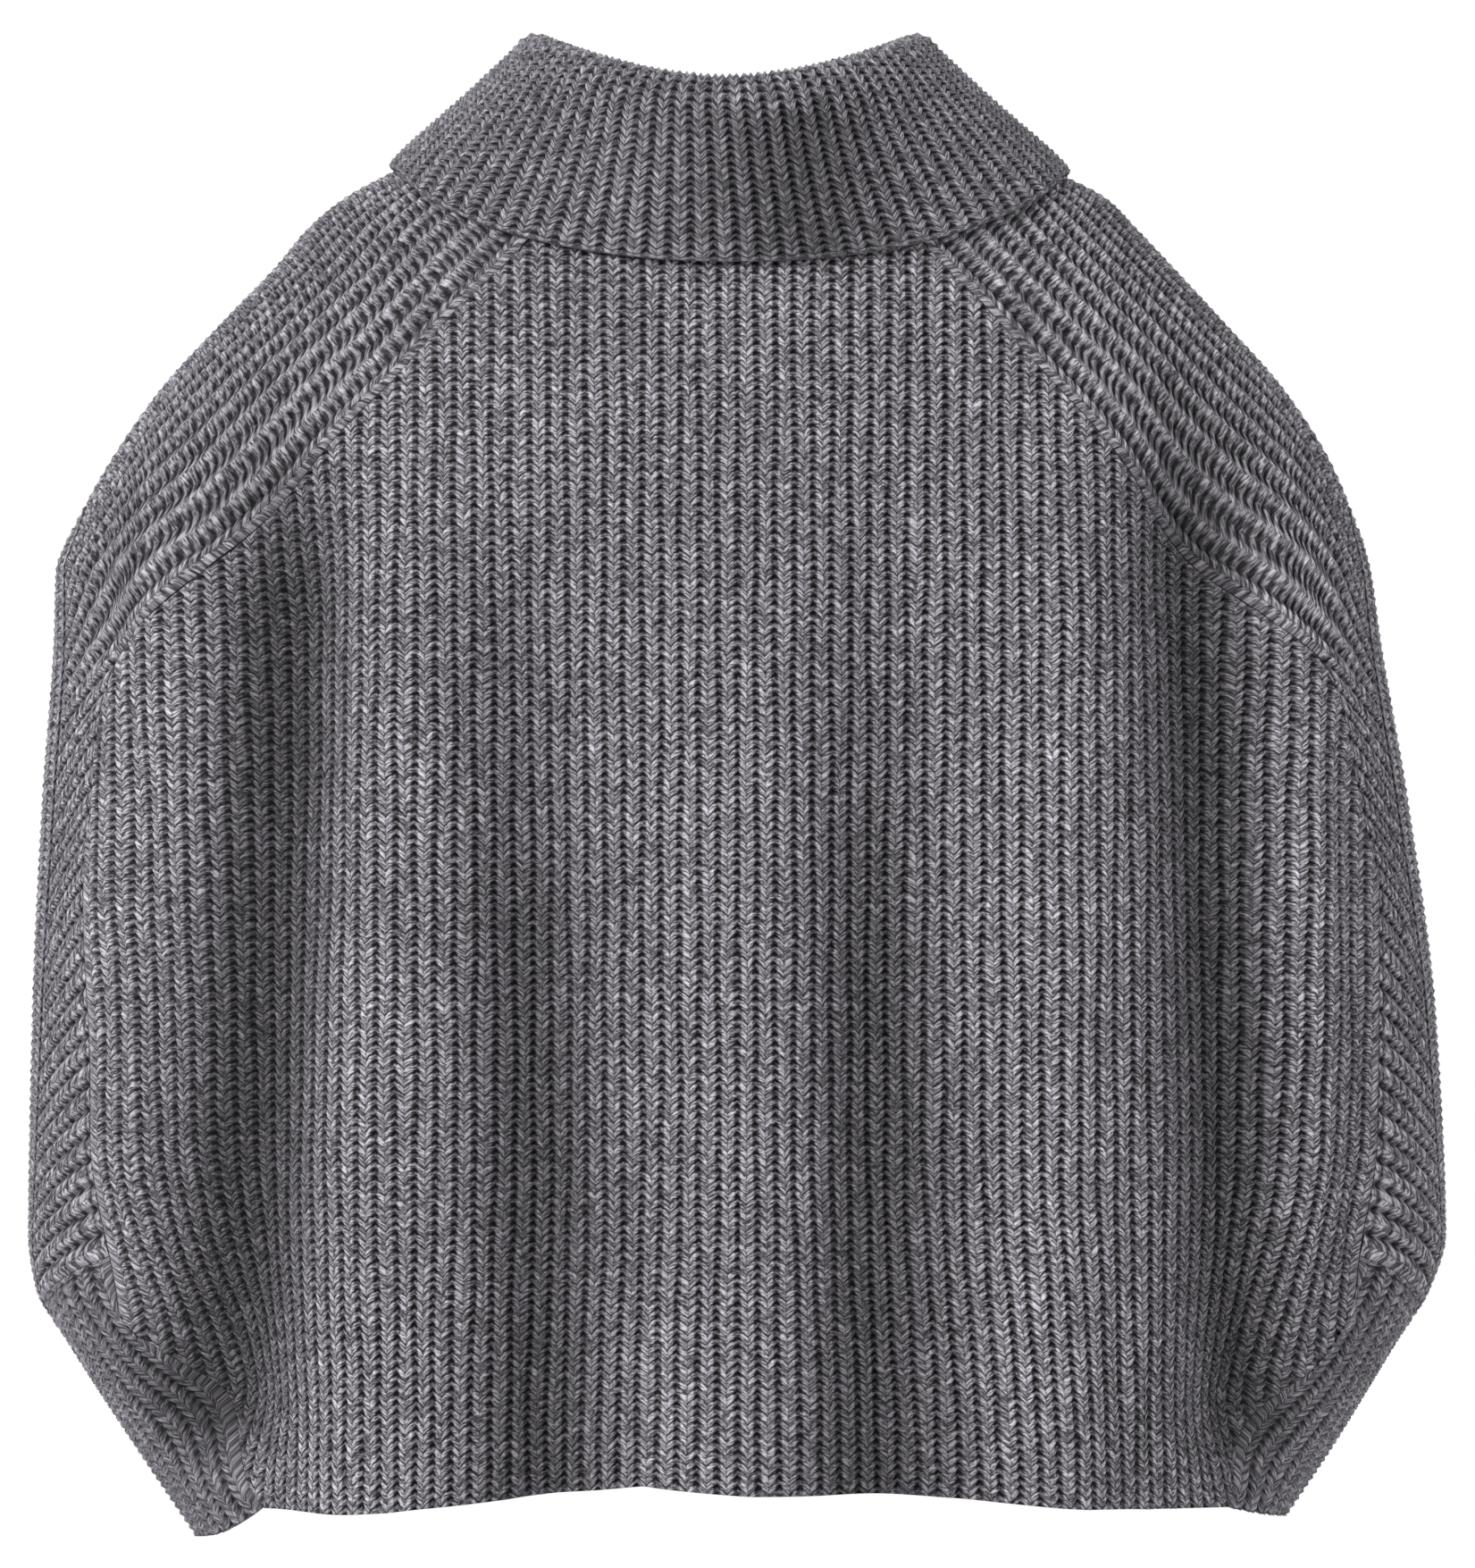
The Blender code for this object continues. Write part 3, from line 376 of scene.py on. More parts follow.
def close_wall(name, outer, inner):
    """Joins an outer and an inner sheet into one closed wall."""
    bm = bmesh.new()
    bm.from_mesh(outer.data)
    bmesh.ops.remove_doubles(bm, verts=bm.verts[:], dist=MERGE)
    known = set(bm.faces)
    outer_rims = rim_loops(bm.faces[:])
    bm.from_mesh(inner.data)
    new_verts = {vert for face in bm.faces if face not in known for vert in face.verts}
    bmesh.ops.remove_doubles(bm, verts=list(new_verts), dist=MERGE)
    inner_faces = [face for face in bm.faces if face not in known]
    print(name, "plain inner face:", round(sum(face.calc_area() for face in inner_faces), 4), "m2")
    inner_rims = rim_loops(inner_faces)
    for rim in outer_rims:
        near = min(inner_rims, key=lambda other: min((v.co - rim[0].co).length for v in other))
        zip_rims(bm, rim, near)
    bpy.data.objects.remove(inner)
    outer.name = name
    outer.data.name = name
    return finish_wall(bm, outer)


def knit_wall(name, sheet_at, fine, coarse):
    """One wall from sheet_at(column shares, row shares, is outer), which gives what place_grid takes.
    fine and coarse are the outer and the inner grid's columns and rows."""
    sheets = []
    ribs = coarse[0]
    for label, (columns, rows), is_outer in (("outer", fine, True), ("inner", coarse, False)):
        u, v = np.meshgrid(np.linspace(0, 1, columns + 1), np.linspace(0, 1, rows + 1), indexing="ij")
        if is_outer:
            u += LEG_INSET * np.sin(2.0 * np.pi * ribs * u) / ribs
        sheets.append(place_grid(name + "_" + label, *sheet_at(u, v, is_outer)))
    return close_wall(name, *sheets)


print("points closer than", MERGE, "m become one")

# %% [markdown]
# ## Back and front panels
# A maker knits each panel in one piece, from the cast-on row at the hem up to the neck, and shapes its
# sides to the slanted raglan seam. The grid's columns are the ribs, spaced evenly round the body, and
# its rows are the stitches, level at every height and dipping with the hem at the bottom. A pattern piece
# could be draped as simulated cloth, but its ribs would not stay where they were knitted. Where the panel
# ends, the rows that are not needed collapse onto its edge and are merged.

# %% Seam lines of the panels
Seam = namedtuple("Seam", "z left right")
RAGLAN = [
    Seam(-0.0563, 0.110, 0.097),
    Seam(-0.0810, 0.137, 0.122),
    Seam(-0.1215, 0.173, 0.158),
    Seam(-0.1530, 0.205, 0.187),
    Seam(-0.1845, 0.236, 0.214),
    Seam(-0.2160, 0.268, 0.243),
    Seam(-0.2430, 0.295, 0.270),
    Seam(-0.2610, 0.308, 0.288),
]
SIDE_SEAM = [
    Seam(-0.2610, 0.308, 0.288),
    Seam(-0.2888, 0.318, 0.302),
    Seam(-0.3720, 0.324, 0.321),
    Seam(-0.5108, 0.324, 0.321),
    Seam(-0.5663, 0.317, 0.317),
    Seam(-0.5940, 0.311, 0.311),
]
GUSSET_SEAM = [
    Seam(-0.5940, 0.311, 0.311),
    Seam(-0.6075, 0.297, 0.299),
    Seam(-0.6390, 0.270, 0.273),
    Seam(-0.6615, 0.253, 0.256),
    Seam(-0.6855, 0.237, 0.246),
]
WIDEST_ROW = 2  # of SIDE_SEAM: where the panels reach their full width
Hem = namedtuple("Hem", "x z")
HEM = [
    Hem(-0.237, -0.6855),
    Hem(-0.173, -0.6870),
    Hem(-0.119, -0.6836),
    Hem(-0.047, -0.6746),
    Hem(0.007, -0.6795),
    Hem(0.097, -0.6810),
    Hem(0.205, -0.6860),
    Hem(0.246, -0.6855),
]
NECK_SIDE_Z, NECK_BACK_Z, NECK_FRONT_Z = 0.0216, -0.0250, -0.0520
NECK_BACK_POWER, NECK_FRONT_POWER = 4.0, 6.0  # more makes the dip squarer
RAGLAN_BACK_TURN, RAGLAN_FRONT_TURN = 21.5, 158.0
NECK_SAMPLES, RIB_SAMPLES = 60, 200  # points along the neck, and round the body, that lines are read from
print("the hem dips by", round(max(row.z for row in HEM) - min(row.z for row in HEM), 4), "m")


# %% Neck, raglan and upper edge
def neck_z(turn):
    """Height of the neck seam: it dips at the back and, more squarely, at the front."""
    cosine = np.cos(np.radians(turn))
    back = NECK_SIDE_Z + (NECK_BACK_Z - NECK_SIDE_Z) * np.abs(cosine) ** NECK_BACK_POWER
    front = NECK_SIDE_Z + (NECK_FRONT_Z - NECK_SIDE_Z) * np.abs(cosine) ** NECK_FRONT_POWER
    return np.where(cosine > 0, back, front)


def seam_rows(table, side):
    name = "right" if side > 0 else "left"
    return np.array([(getattr(seam, name), seam.z) for seam in table])


def raglan_line(side, front):
    """Rows (x, z) of the slanted seam, from the neck down."""
    turn = RAGLAN_FRONT_TURN if front else RAGLAN_BACK_TURN
    top = form_points(np.array([side * turn]), neck_z(np.array([turn])))[0]
    return np.concatenate([[(abs(top[0]), top[2])], seam_rows(RAGLAN, side)])


def run_along(points):
    """Length of a line of points up to each of them. points may hold several lines."""
    steps = np.linalg.norm(np.diff(points, axis=-2), axis=-1)
    return np.concatenate([np.zeros(steps.shape[:-1] + (1,)), np.cumsum(steps, axis=-1)], axis=-1)


def on_line(rows, share):
    """Points at shares 0 to 1 of the length of a line given by rows of points."""
    length = run_along(rows)
    at = np.asarray(share) * length[-1]
    return np.stack([np.interp(at, length, rows[:, k]) for k in range(rows.shape[1])], axis=-1)


def panel_top(x, side, front):
    """Height of a panel's upper edge at distance x from the middle: neck, raglan, side seam."""
    raglan = raglan_line(side, front)
    ends = (180.0, RAGLAN_FRONT_TURN) if front else (0.0, RAGLAN_BACK_TURN)
    turns = np.linspace(*ends, NECK_SAMPLES)
    neck = form_points(side * turns, neck_z(turns))
    outer = seam_rows(SIDE_SEAM, side)[1 : WIDEST_ROW + 1]
    across = np.concatenate([np.abs(neck[:, 0]), raglan[1:, 0], outer[:, 0]])
    height = np.concatenate([neck[:, 2], raglan[1:, 1], outer[:, 1]])
    return np.interp(x, across, height)


print("raglan seam from", raglan_line(1, False)[0], "to", raglan_line(1, False)[-1])

# %% Values of the panels
PANEL_RIBS = 72
PANEL_STITCHES = 148
PANEL_INNER_ROWS = 60
SIDE_RIBS = 16  # ribs that end at the gussets instead of the hem, both sides together
HEM_SHARE = 1.0 - SIDE_RIBS / PANEL_RIBS
HEM_EVEN = 0.65  # 1 spaces the ribs evenly along the hem, less closes them up towards its ends
FAN_START_Z = -0.5000  # the outer ribs lean in below this height
HEM_BLEND = 0.16  # the rows follow the hem's dips up to this height over it
LEVEL_Z = -0.6820  # where the level rows are counted from
SEAM_GAP = 0.0001  # each piece stops this far short of its seam line
SEAM_LEG = 0.22  # a column cut by a seam keeps this share of itself clear of its valley
SEAM_LIFT = 0.0015  # height of every piece along its seams, so that neighbours meet
LAST_SHARE = 0.9994  # the panel ends at this share of its half width
UNEVEN = 0.08  # spread of the rows' heights from stitch to stitch, in stitches
SPARE_ROWS, ROW_START = 8, 3.0  # extra rows of those heights, and how many lie below the hem
SWAY, SLOW_WAVE, QUICK_WAVE = 0.0004, 31.0, 77.0  # how far a rib wanders, and radians to a metre of height
QUICK_SHARE = 0.6  # the quick wave's size beside the slow one's
SWAY_FADE, SWAY_END = 0.03, 0.985  # it fades this near a rib's ends, and ribs beyond this share keep still
random = np.random.default_rng(7)
print("ribs of a panel:", PANEL_RIBS, "of which end at the gussets:", SIDE_RIBS)


# %% Sheet of a panel
def rib_place(side, front, out):
    """Distance from the middle of evenly spaced ribs, measured round the body at mid height."""
    widest = seam_rows(SIDE_SEAM, side)[WIDEST_ROW]
    x = np.linspace(0.0, widest[0], RIB_SAMPLES)
    z = np.full(x.shape, widest[1])
    rows = form_points(side * turn_at(x, z, side, front), z)[:, :2]
    return np.abs(on_line(rows, out)[..., 0])


def panel_sheet(front):
    wobble = random.uniform(0.0, 2.0 * np.pi, (3, PANEL_RIBS + 1))
    uneven = random.normal(0.0, UNEVEN, (PANEL_RIBS + 1, PANEL_STITCHES + SPARE_ROWS))

    def sheet_at(u, v, is_outer):
        rib = u * PANEL_RIBS
        share = np.clip(2.0 * u - 1.0, -LAST_SHARE, LAST_SHARE)
        along = -1.0 + v * (PANEL_STITCHES + 2)
        turn, z = np.zeros(u.shape), np.zeros(u.shape)
        stitch = along.copy()
        for side in (-1, 1):
            here = share[:, 0] >= 0 if side > 0 else share[:, 0] < 0
            out = np.abs(share[here, 0])
            straight = rib_place(side, front, out)
            gusset = seam_rows(GUSSET_SEAM, side)[::-1]
            reach = np.minimum(out / HEM_SHARE, 1.0)
            hem_x = gusset[0, 0] * (HEM_EVEN * reach + (1.0 - HEM_EVEN) * np.sin(reach * np.pi / 2.0))
            hem_z = np.interp(side * hem_x, [row.x for row in HEM], [row.z for row in HEM])
            seam = on_line(gusset, np.clip((out - HEM_SHARE) / (1.0 - HEM_SHARE), 0.0, 1.0))
            at_hem = out < HEM_SHARE
            low_x = np.where(at_hem, hem_x, seam[..., 0])[:, None]
            low_z = np.where(at_hem, hem_z, seam[..., 1] + SEAM_GAP)[:, None]
            high_z = panel_top(straight, side, front)[:, None] - SEAM_GAP
            over = (along[here] - (slant(rib[here]) if is_outer else 0.0)) * STITCH
            level = LEVEL_Z + over + (hem_z[:, None] - LEVEL_Z) * (1.0 - smooth_step(over / HEM_BLEND))
            if is_outer:
                column = np.floor(rib[here] + TINY).astype(int)
                row = np.clip(np.floor(along[here] + ROW_START).astype(int), 0, uneven.shape[1] - 1)
                level += uneven[column, row] * STITCH
            height = np.clip(level, low_z, high_z)
            lean = smooth_step((FAN_START_Z - height) / (FAN_START_Z - low_z))
            x = straight[:, None] + (low_x - straight[:, None]) * lean
            k = np.rint(rib[here]).astype(int)
            sway = np.sin(height * SLOW_WAVE + wobble[0][k])
            sway += QUICK_SHARE * np.sin(height * QUICK_WAVE + wobble[1][k])
            fade = smooth_step((high_z - height) / SWAY_FADE) * smooth_step((height - low_z) / SWAY_FADE)
            x = x + SWAY * sway * fade * (out[:, None] < SWAY_END)
            turn[here] = side * turn_at(x, height, side, front)
            z[here] = height
            moved = along[here] + (height - level) / STITCH
            stitch[here] = np.where(height != level, moved, along[here])
        lift = np.full(u.shape, -WALL)
        if is_outer:
            rib = np.clip(rib, SEAM_LEG, PANEL_RIBS - SEAM_LEG)
            border = (stitch != along) | (np.abs(2.0 * u - 1.0) > 1.0 - TINY)
            lift = np.where(border, SEAM_LIFT, knit_height(RIB, rib, along))
        points = cloth_points(turn, z, lift)
        return points, rib, stitch, cloth_marks(points)

    return sheet_at


print("rib pitch at the middle of the back:", round(rib_place(1, False, 2.0 / PANEL_RIBS), 4), "m")

# %% Knit the panels
panel_grids = (4 * PANEL_RIBS, 2 * (PANEL_STITCHES + 2)), (PANEL_RIBS, PANEL_INNER_ROWS)
back = knit_wall("knit_back", panel_sheet(False), *panel_grids)
front = knit_wall("knit_front", panel_sheet(True), *panel_grids)

# %% [markdown]
# ## Bands round the arm openings
# The opening is a long upright loop. Its band is picked up along the loop and knitted outwards, so its
# columns run round the opening. A profile swept along a curve would be quicker, but could not lie down on
# the folded cloth. So a grid is bent into a closed tube: two ribs on the outer face, and the flat inner
# face back to the start.

# %% The opening's loop
SLIT_TOP_Z, SLIT_LOW_Z = -0.2030, -0.5760
SLIT_TOP_HALF, SLIT_LOW_HALF = 0.026, 0.008
BAND, BAND_LOW = 0.020, 0.014
SLIT_SQUARE = 0.62  # below 1 the loop has straighter sides and blunter ends
SHOULDER_END_Z = -0.2970
LOOP_GAP = 0.035  # share of the loop, each side of its lowest point, that the gusset closes
LOOP_GAP_STEPS = 4
SHOULDER_RIBS, EDGE_RIBS = 24, 24
LOOP_SAMPLES = 1600


def loop_line(side, outer, share):
    """Turn and height on the band's outer or inner edge. share runs 0 to 1 from the lowest point up
    the back, over the top and down the front."""
    grow = BAND if outer else 0.0
    top, low = SLIT_TOP_Z + grow, SLIT_LOW_Z - (BAND_LOW if outer else 0.0)
    angle = 2.0 * np.pi * np.asarray(share)
    z = 0.5 * (top + low) - 0.5 * (top - low) * np.cos(angle)
    rise = (z - low) / (top - low)
    half = (SLIT_LOW_HALF + (SLIT_TOP_HALF - SLIT_LOW_HALF) * rise) + grow
    y = -half * signed_power(np.sin(angle), SLIT_SQUARE)
    share = np.clip(np.abs(y) / half_depth(z, y < 0), 0.0, 1.0)
    turn = np.degrees(np.arccos(share ** (ROUNDNESS / 2.0)))
    return np.where(y < 0, turn, 180.0 - turn), z


def loop_run(side):
    """Shares of the outer loop and the length of cloth up to each."""
    fine = np.linspace(0.0, 1.0, LOOP_SAMPLES + 1)
    turn, z = loop_line(side, True, fine)
    return fine, run_along(form_points(side * turn, z))


def loop_shares(side):
    """Shares of the outer loop at the valleys of the sleeve panel's ribs, back low end first."""
    up = np.linspace(0.0, 0.5, LOOP_SAMPLES // 2)
    low, high = LOOP_GAP, np.interp(SHOULDER_END_Z, loop_line(side, True, up)[1], up)
    fine, run = loop_run(side)
    marks = np.interp([low, high, 1.0 - high, 1.0 - low], fine, run)
    counts = [EDGE_RIBS, SHOULDER_RIBS, EDGE_RIBS]
    at = [np.linspace(marks[k], marks[k + 1], counts[k] + 1) for k in range(3)]
    return np.interp(np.concatenate([at[0], at[1][1:], at[2][1:]]), run, fine)


print("band length:", round(loop_run(1)[1][-1], 3), "m")

# %% The bands
BAND_STITCH = 0.0050
# nine lines on the outer face: valley, leg, groove, leg, valley and so on, and then the inner face's lines
BAND_ACROSS = [0.02, 0.12, 0.25, 0.38, 0.50, 0.62, 0.75, 0.88, 0.98]
BAND_INSIDE = [0.97, 0.66, 0.34, 0.06]
BAND_HIGH = [0.0015, 0.0026, 0.0016, 0.0027, 0.0004, 0.0027, 0.0016, 0.0026, 0.0012]
BAND_LOW_ROW = [0.0015, 0.0016, 0.0009, 0.0016, -0.0006, 0.0016, 0.0009, 0.0016, 0.0004]
BAND_DROP = [0.0, 0.45, 0.9, 0.45, 0.0, 0.45, 0.9, 0.45, 0.0]


def make_band(name, side):
    """A closed tube: nine lines on the outer face and four on the inner one, all round the loop."""
    fine, run = loop_run(side)
    stitches = int(run[-1] / BAND_STITCH)
    steps = 2 * stitches
    order = len(BAND_ACROSS)
    lines = BAND_ACROSS + BAND_INSIDE + BAND_ACROSS[:1]
    points = np.zeros((len(lines), steps + 1, 3))
    columns, rows = np.zeros((2, len(lines), steps + 1))
    for k, across in enumerate(lines):
        on_outer = k < order or k == len(lines) - 1
        j = k if k < order else 0
        along = np.arange(steps + 1) / 2.0
        drop = BAND_DROP[j] if on_outer else 0.0
        share = np.interp(((along - drop) / stitches % 1.0) * run[-1], run, fine)
        out_turn, out_z = loop_line(side, True, share)
        in_turn, in_z = loop_line(side, False, share)
        crest = 0.5 - 0.5 * np.cos(2.0 * np.pi * along)
        lift = BAND_LOW_ROW[j] + (BAND_HIGH[j] - BAND_LOW_ROW[j]) * crest
        lift = lift if on_outer else np.full(along.shape, -WALL)
        turn = out_turn + (in_turn - out_turn) * across
        points[k] = cloth_points(side * turn, out_z + (in_z - out_z) * across, lift)
        columns[k], rows[k] = 0.25 * j if on_outer else 0.5 * k, along
    points[:, -1] = points[:, 0]
    band = place_grid(name, points, columns, rows, cloth_marks(points))
    bm = bmesh.new()
    bm.from_mesh(band.data)
    bmesh.ops.remove_doubles(bm, verts=bm.verts[:], dist=MERGE)
    return finish_wall(bm, band)


bands = {"left": make_band("knit_band_left", -1), "right": make_band("knit_band_right", 1)}

# %% [markdown]
# ## Sleeve panels
# One panel covers each shoulder: two dozen ribs run from the neck over the shoulder to the arm opening, and
# more ribs slant from the side seams to the band in front and behind. So the grid is T-shaped: its upper
# corners hold no cloth and are deleted. The shoulder ribs have the ladder knit, the ribs along the
# raglan seams are plaited chains and the side ribs are tight V's.

# %% Lines of the sleeve panels
SLEEVE_RIBS = SHOULDER_RIBS + 2 * EDGE_RIBS
SLEEVE_ROWS, CORNER_ROW = 10, 8
NECK_ROWS = 2  # rows that still follow the dip of the neck
LEVEL_SHARE = 0.65  # 0 spaces the shoulder ribs by turn, 1 evenly as seen from behind
TOP_EASE = 0.15  # more of it narrows the ribs on top of the shoulder again
SIDE_TOP_Z, SIDE_LOW_Z = -0.2610, -0.5600  # the side ribs leave the seam between these heights
RAIL_WIDTH = 0.62  # width of the chains along the raglan seams, beside the other ribs
NO_CLOTH = np.array([90.0, -0.2])  # turn and height of the grid's corners, which hold no cloth


def side_edge(z, side):
    """Distance from the middle of the panels' side edge, which leans in below the fan's start."""
    seam = seam_rows(SIDE_SEAM, side)
    upper = seam[: WIDEST_ROW + 1]
    above = np.interp(-z, -upper[:, 1], upper[:, 0])
    lean = smooth_step((FAN_START_Z - z) / (FAN_START_Z - seam[-1, 1]))
    return above + (seam[-1, 0] - above) * lean


def ridge_line(side):
    """Heights down the top of the shoulder, from the neck to the band, even along the cloth."""
    z = np.linspace(NECK_SIDE_Z, SLIT_TOP_Z + BAND, RIB_SAMPLES)
    width = half_width(z, np.full(z.shape, side > 0))
    return on_line(np.stack([width, z], axis=-1), np.linspace(0.0, 1.0, SLEEVE_ROWS + 1))[:, 1]


print("corner of strip and gusset:", round(float(side_edge(SIDE_LOW_Z, 1)), 3), "m from the middle")


# %% Ribs over the shoulder
def shoulder_grid(side):
    """Turn and height at [shoulder valley, row] of the upper part, back to front."""
    width = np.ones(SHOULDER_RIBS)
    width[[0, -1]] = RAIL_WIDTH
    across = np.concatenate([[0.0], np.cumsum(width)]) / width.sum()
    ridge = ridge_line(side)[: CORNER_ROW + 1]
    turn = np.zeros((len(across), CORNER_ROW + 1))
    height = np.zeros(turn.shape)
    for front in (False, True):
        rows = raglan_line(side, front)
        seam_turn, seam_z = turn_at(rows[:, 0], rows[:, 1], side, front), rows[:, 1]
        here = across > 0.5 if front else across <= 0.5
        out = np.abs(2.0 * across[here] - 1.0)[:, None]
        seen = np.sin(np.radians(seam_turn))[None, :]
        eased = (np.hypot(out, TOP_EASE) - TOP_EASE) / (np.hypot(1.0, TOP_EASE) - TOP_EASE)
        level = np.degrees(np.arcsin(1.0 - (1.0 - seen) * eased))
        level = np.abs(90.0 - level) / np.abs(90.0 - seam_turn)[None, :]
        out = LEVEL_SHARE * level + (1.0 - LEVEL_SHARE) * out
        neck_shape_turn = 90.0 + (seam_turn[0] - 90.0) * out
        neck_drop = (neck_z(neck_shape_turn) - NECK_SIDE_Z) / (seam_z[0] - NECK_SIDE_Z)
        blend = np.minimum(np.arange(CORNER_ROW + 1) / NECK_ROWS, 1.0)[None, :]
        drop = neck_drop * (1.0 - blend) + out**ROUNDNESS * blend
        turn[here] = 90.0 + (seam_turn[None, :] - 90.0) * out
        height[here] = ridge[None, :] + (seam_z - ridge)[None, :] * drop
    return turn, height


def sleeve_valleys(side):
    """Turn and height at every rib valley [valley, row]."""
    grid = np.tile(NO_CLOTH[:, None, None], (1, SLEEVE_RIBS + 1, SLEEVE_ROWS + 1))
    first, last = EDGE_RIBS, EDGE_RIBS + SHOULDER_RIBS
    for k, values in enumerate(shoulder_grid(side)):
        grid[k, first : last + 1, : CORNER_ROW + 1] = values
    z = np.linspace(SIDE_TOP_Z, SIDE_LOW_Z, EDGE_RIBS + 1)
    inside = turn_at(side_edge(z, side), z, side)
    for step in range(1, EDGE_RIBS + 1):
        grid[:, first - step, CORNER_ROW] = (inside[step], z[step])
        grid[:, last + step, CORNER_ROW] = (180.0 - inside[step], z[step])
    edge = np.stack(loop_line(side, True, loop_shares(side)), axis=0)
    for row in range(CORNER_ROW + 1, SLEEVE_ROWS + 1):
        t = (row - CORNER_ROW) / (SLEEVE_ROWS - CORNER_ROW)
        grid[:, :, row] = grid[:, :, CORNER_ROW] * (1.0 - t) + edge * t
    return grid


print("sleeve valleys:", sleeve_valleys(1).shape)

# %% Sleeve grid
SHOULDER_STITCHES, STRIP_STITCHES = 56, 10  # stitches down to the corner row, and below it
SLEEVE_STITCHES = SHOULDER_STITCHES + STRIP_STITCHES
GRID_ROWS = 4  # grid rows to a stitch
GAP_ROWS, GAP_RIBS = SEAM_GAP / 0.016, SEAM_GAP / 0.010  # the seam gap in table rows and in ribs
LADDER_BEND, RIB_BEND = 0.25, 0.55  # stitches that a row drops to the middle of a column
BEND_FADE = 0.3  # table rows over which the bend fades at the edges
SLEEVE_UNEVEN, SLEEVE_DRAWS = 0.05, 80  # as UNEVEN for the panels, and how many heights a rib draws


def sleeve_sheet(side):
    grid = sleeve_valleys(side)
    uneven = random.normal(0.0, SLEEVE_UNEVEN, (SLEEVE_RIBS + 1, SLEEVE_DRAWS))

    def sheet_at(u, v, is_outer):
        rib = u * SLEEVE_RIBS
        stitch = v * SLEEVE_STITCHES
        row = np.interp(stitch, [0, SHOULDER_STITCHES, SLEEVE_STITCHES], [0, CORNER_ROW, SLEEVE_ROWS])
        corner = (rib < EDGE_RIBS - TINY) | (rib > SLEEVE_RIBS - EDGE_RIBS + TINY)
        on_raglan = row < CORNER_ROW - TINY
        used = ~(corner & on_raglan)
        stitch = stitch + 0.5  # so that the edges lie on a crest
        at = np.clip(rib, GAP_RIBS, SLEEVE_RIBS - GAP_RIBS)
        between = np.clip(at, EDGE_RIBS + GAP_RIBS, SLEEVE_RIBS - EDGE_RIBS - GAP_RIBS)
        at = np.where(on_raglan, between, at)
        top_gap = np.where(corner, CORNER_ROW + GAP_ROWS, GAP_ROWS)
        low_gap = SLEEVE_ROWS - GAP_ROWS
        down = np.clip(row, top_gap, low_gap)
        shoulder = (at > EDGE_RIBS + 1.0) & (at < SLEEVE_RIBS - EDGE_RIBS - 1.0)
        if is_outer:
            out = np.abs(2.0 * (rib % 1.0) - 1.0)
            bend = np.where(shoulder, LADDER_BEND, RIB_BEND) * (1.0 - out)
            shake = uneven[np.floor(rib + TINY).astype(int), np.floor(stitch).astype(int)]
            fade = smooth_step((row - top_gap) / BEND_FADE) * smooth_step((low_gap - row) / BEND_FADE)
            in_strip = (SLEEVE_ROWS - CORNER_ROW) / STRIP_STITCHES
            long = np.where(on_raglan, CORNER_ROW / SHOULDER_STITCHES, in_strip)  # a stitch in table rows
            down = np.clip(down + (bend + shake) * long * fade, top_gap, low_gap)
        low = np.clip(np.floor(at + TINY).astype(int), 0, SLEEVE_RIBS - 1)
        line = np.clip(np.floor(down).astype(int), 0, SLEEVE_ROWS - 1)
        part, rest = at - low, down - line
        near = grid[:, low, line] * (1.0 - part) + grid[:, low + 1, line] * part
        far = grid[:, low, line + 1] * (1.0 - part) + grid[:, low + 1, line + 1] * part
        turn, z = near * (1.0 - rest) + far * rest
        lift = np.full(u.shape, -WALL)
        if is_outer:
            first = np.where(on_raglan, EDGE_RIBS, 0)
            rib = np.clip(rib, first + SEAM_LEG, SLEEVE_RIBS - first - SEAM_LEG)
            lift = np.where(shoulder, knit_height(LADDER, rib, stitch), knit_height(RIB, rib, stitch))
            seam_rib = np.where(row < CORNER_ROW + TINY, EDGE_RIBS, 0)
            on_seam = np.abs(u - 0.5) * SLEEVE_RIBS > SLEEVE_RIBS / 2 - seam_rib - TINY
            on_rim = (row > SLEEVE_ROWS - TINY) | (row < TINY)
            lift = np.where(on_seam | on_rim, SEAM_LIFT, lift)
        points = cloth_points(side * turn, z, lift)
        marks = cloth_marks(points, np.where(shoulder & is_outer, 1.0, 0.0))
        return points, rib, stitch, marks, used

    return sheet_at


# %% Knit the sleeve panels
sleeve_grids = (8 * SLEEVE_RIBS, GRID_ROWS * SLEEVE_STITCHES), (SLEEVE_RIBS, SLEEVE_STITCHES // 2)
sleeves = {}
for label, side in (("left", -1), ("right", 1)):
    sleeves[label] = knit_wall("knit_sleeve_" + label, sleeve_sheet(side), *sleeve_grids)

# %% [markdown]
# ## Gussets
# Below each arm opening a gusset joins the back to the front and hangs down to a soft tip at the hem. It is
# knitted more tightly than the panels. It could be cut as part of one of them, but then its columns would
# lean the wrong way, so it has a grid of its own between the two seams: the columns start under the opening
# and fan out, and a power curve rounds the tip.

# %% Gusset grid
GUSSET_RIBS, GUSSET_STITCHES, GUSSET_INNER_ROWS = 14, 32, 12
GUSSET_GAP = 0.0007  # the seam gap as a share of the gusset's length and width
GUSSET_START_STEPS = 4
TIP_Z = {-1: -0.7015, 1: -0.6900}  # the left tip hangs lower
TIP_POWER = 3.0
ON_SEAM = 0.99  # columns past this share of the half width lie on the seam


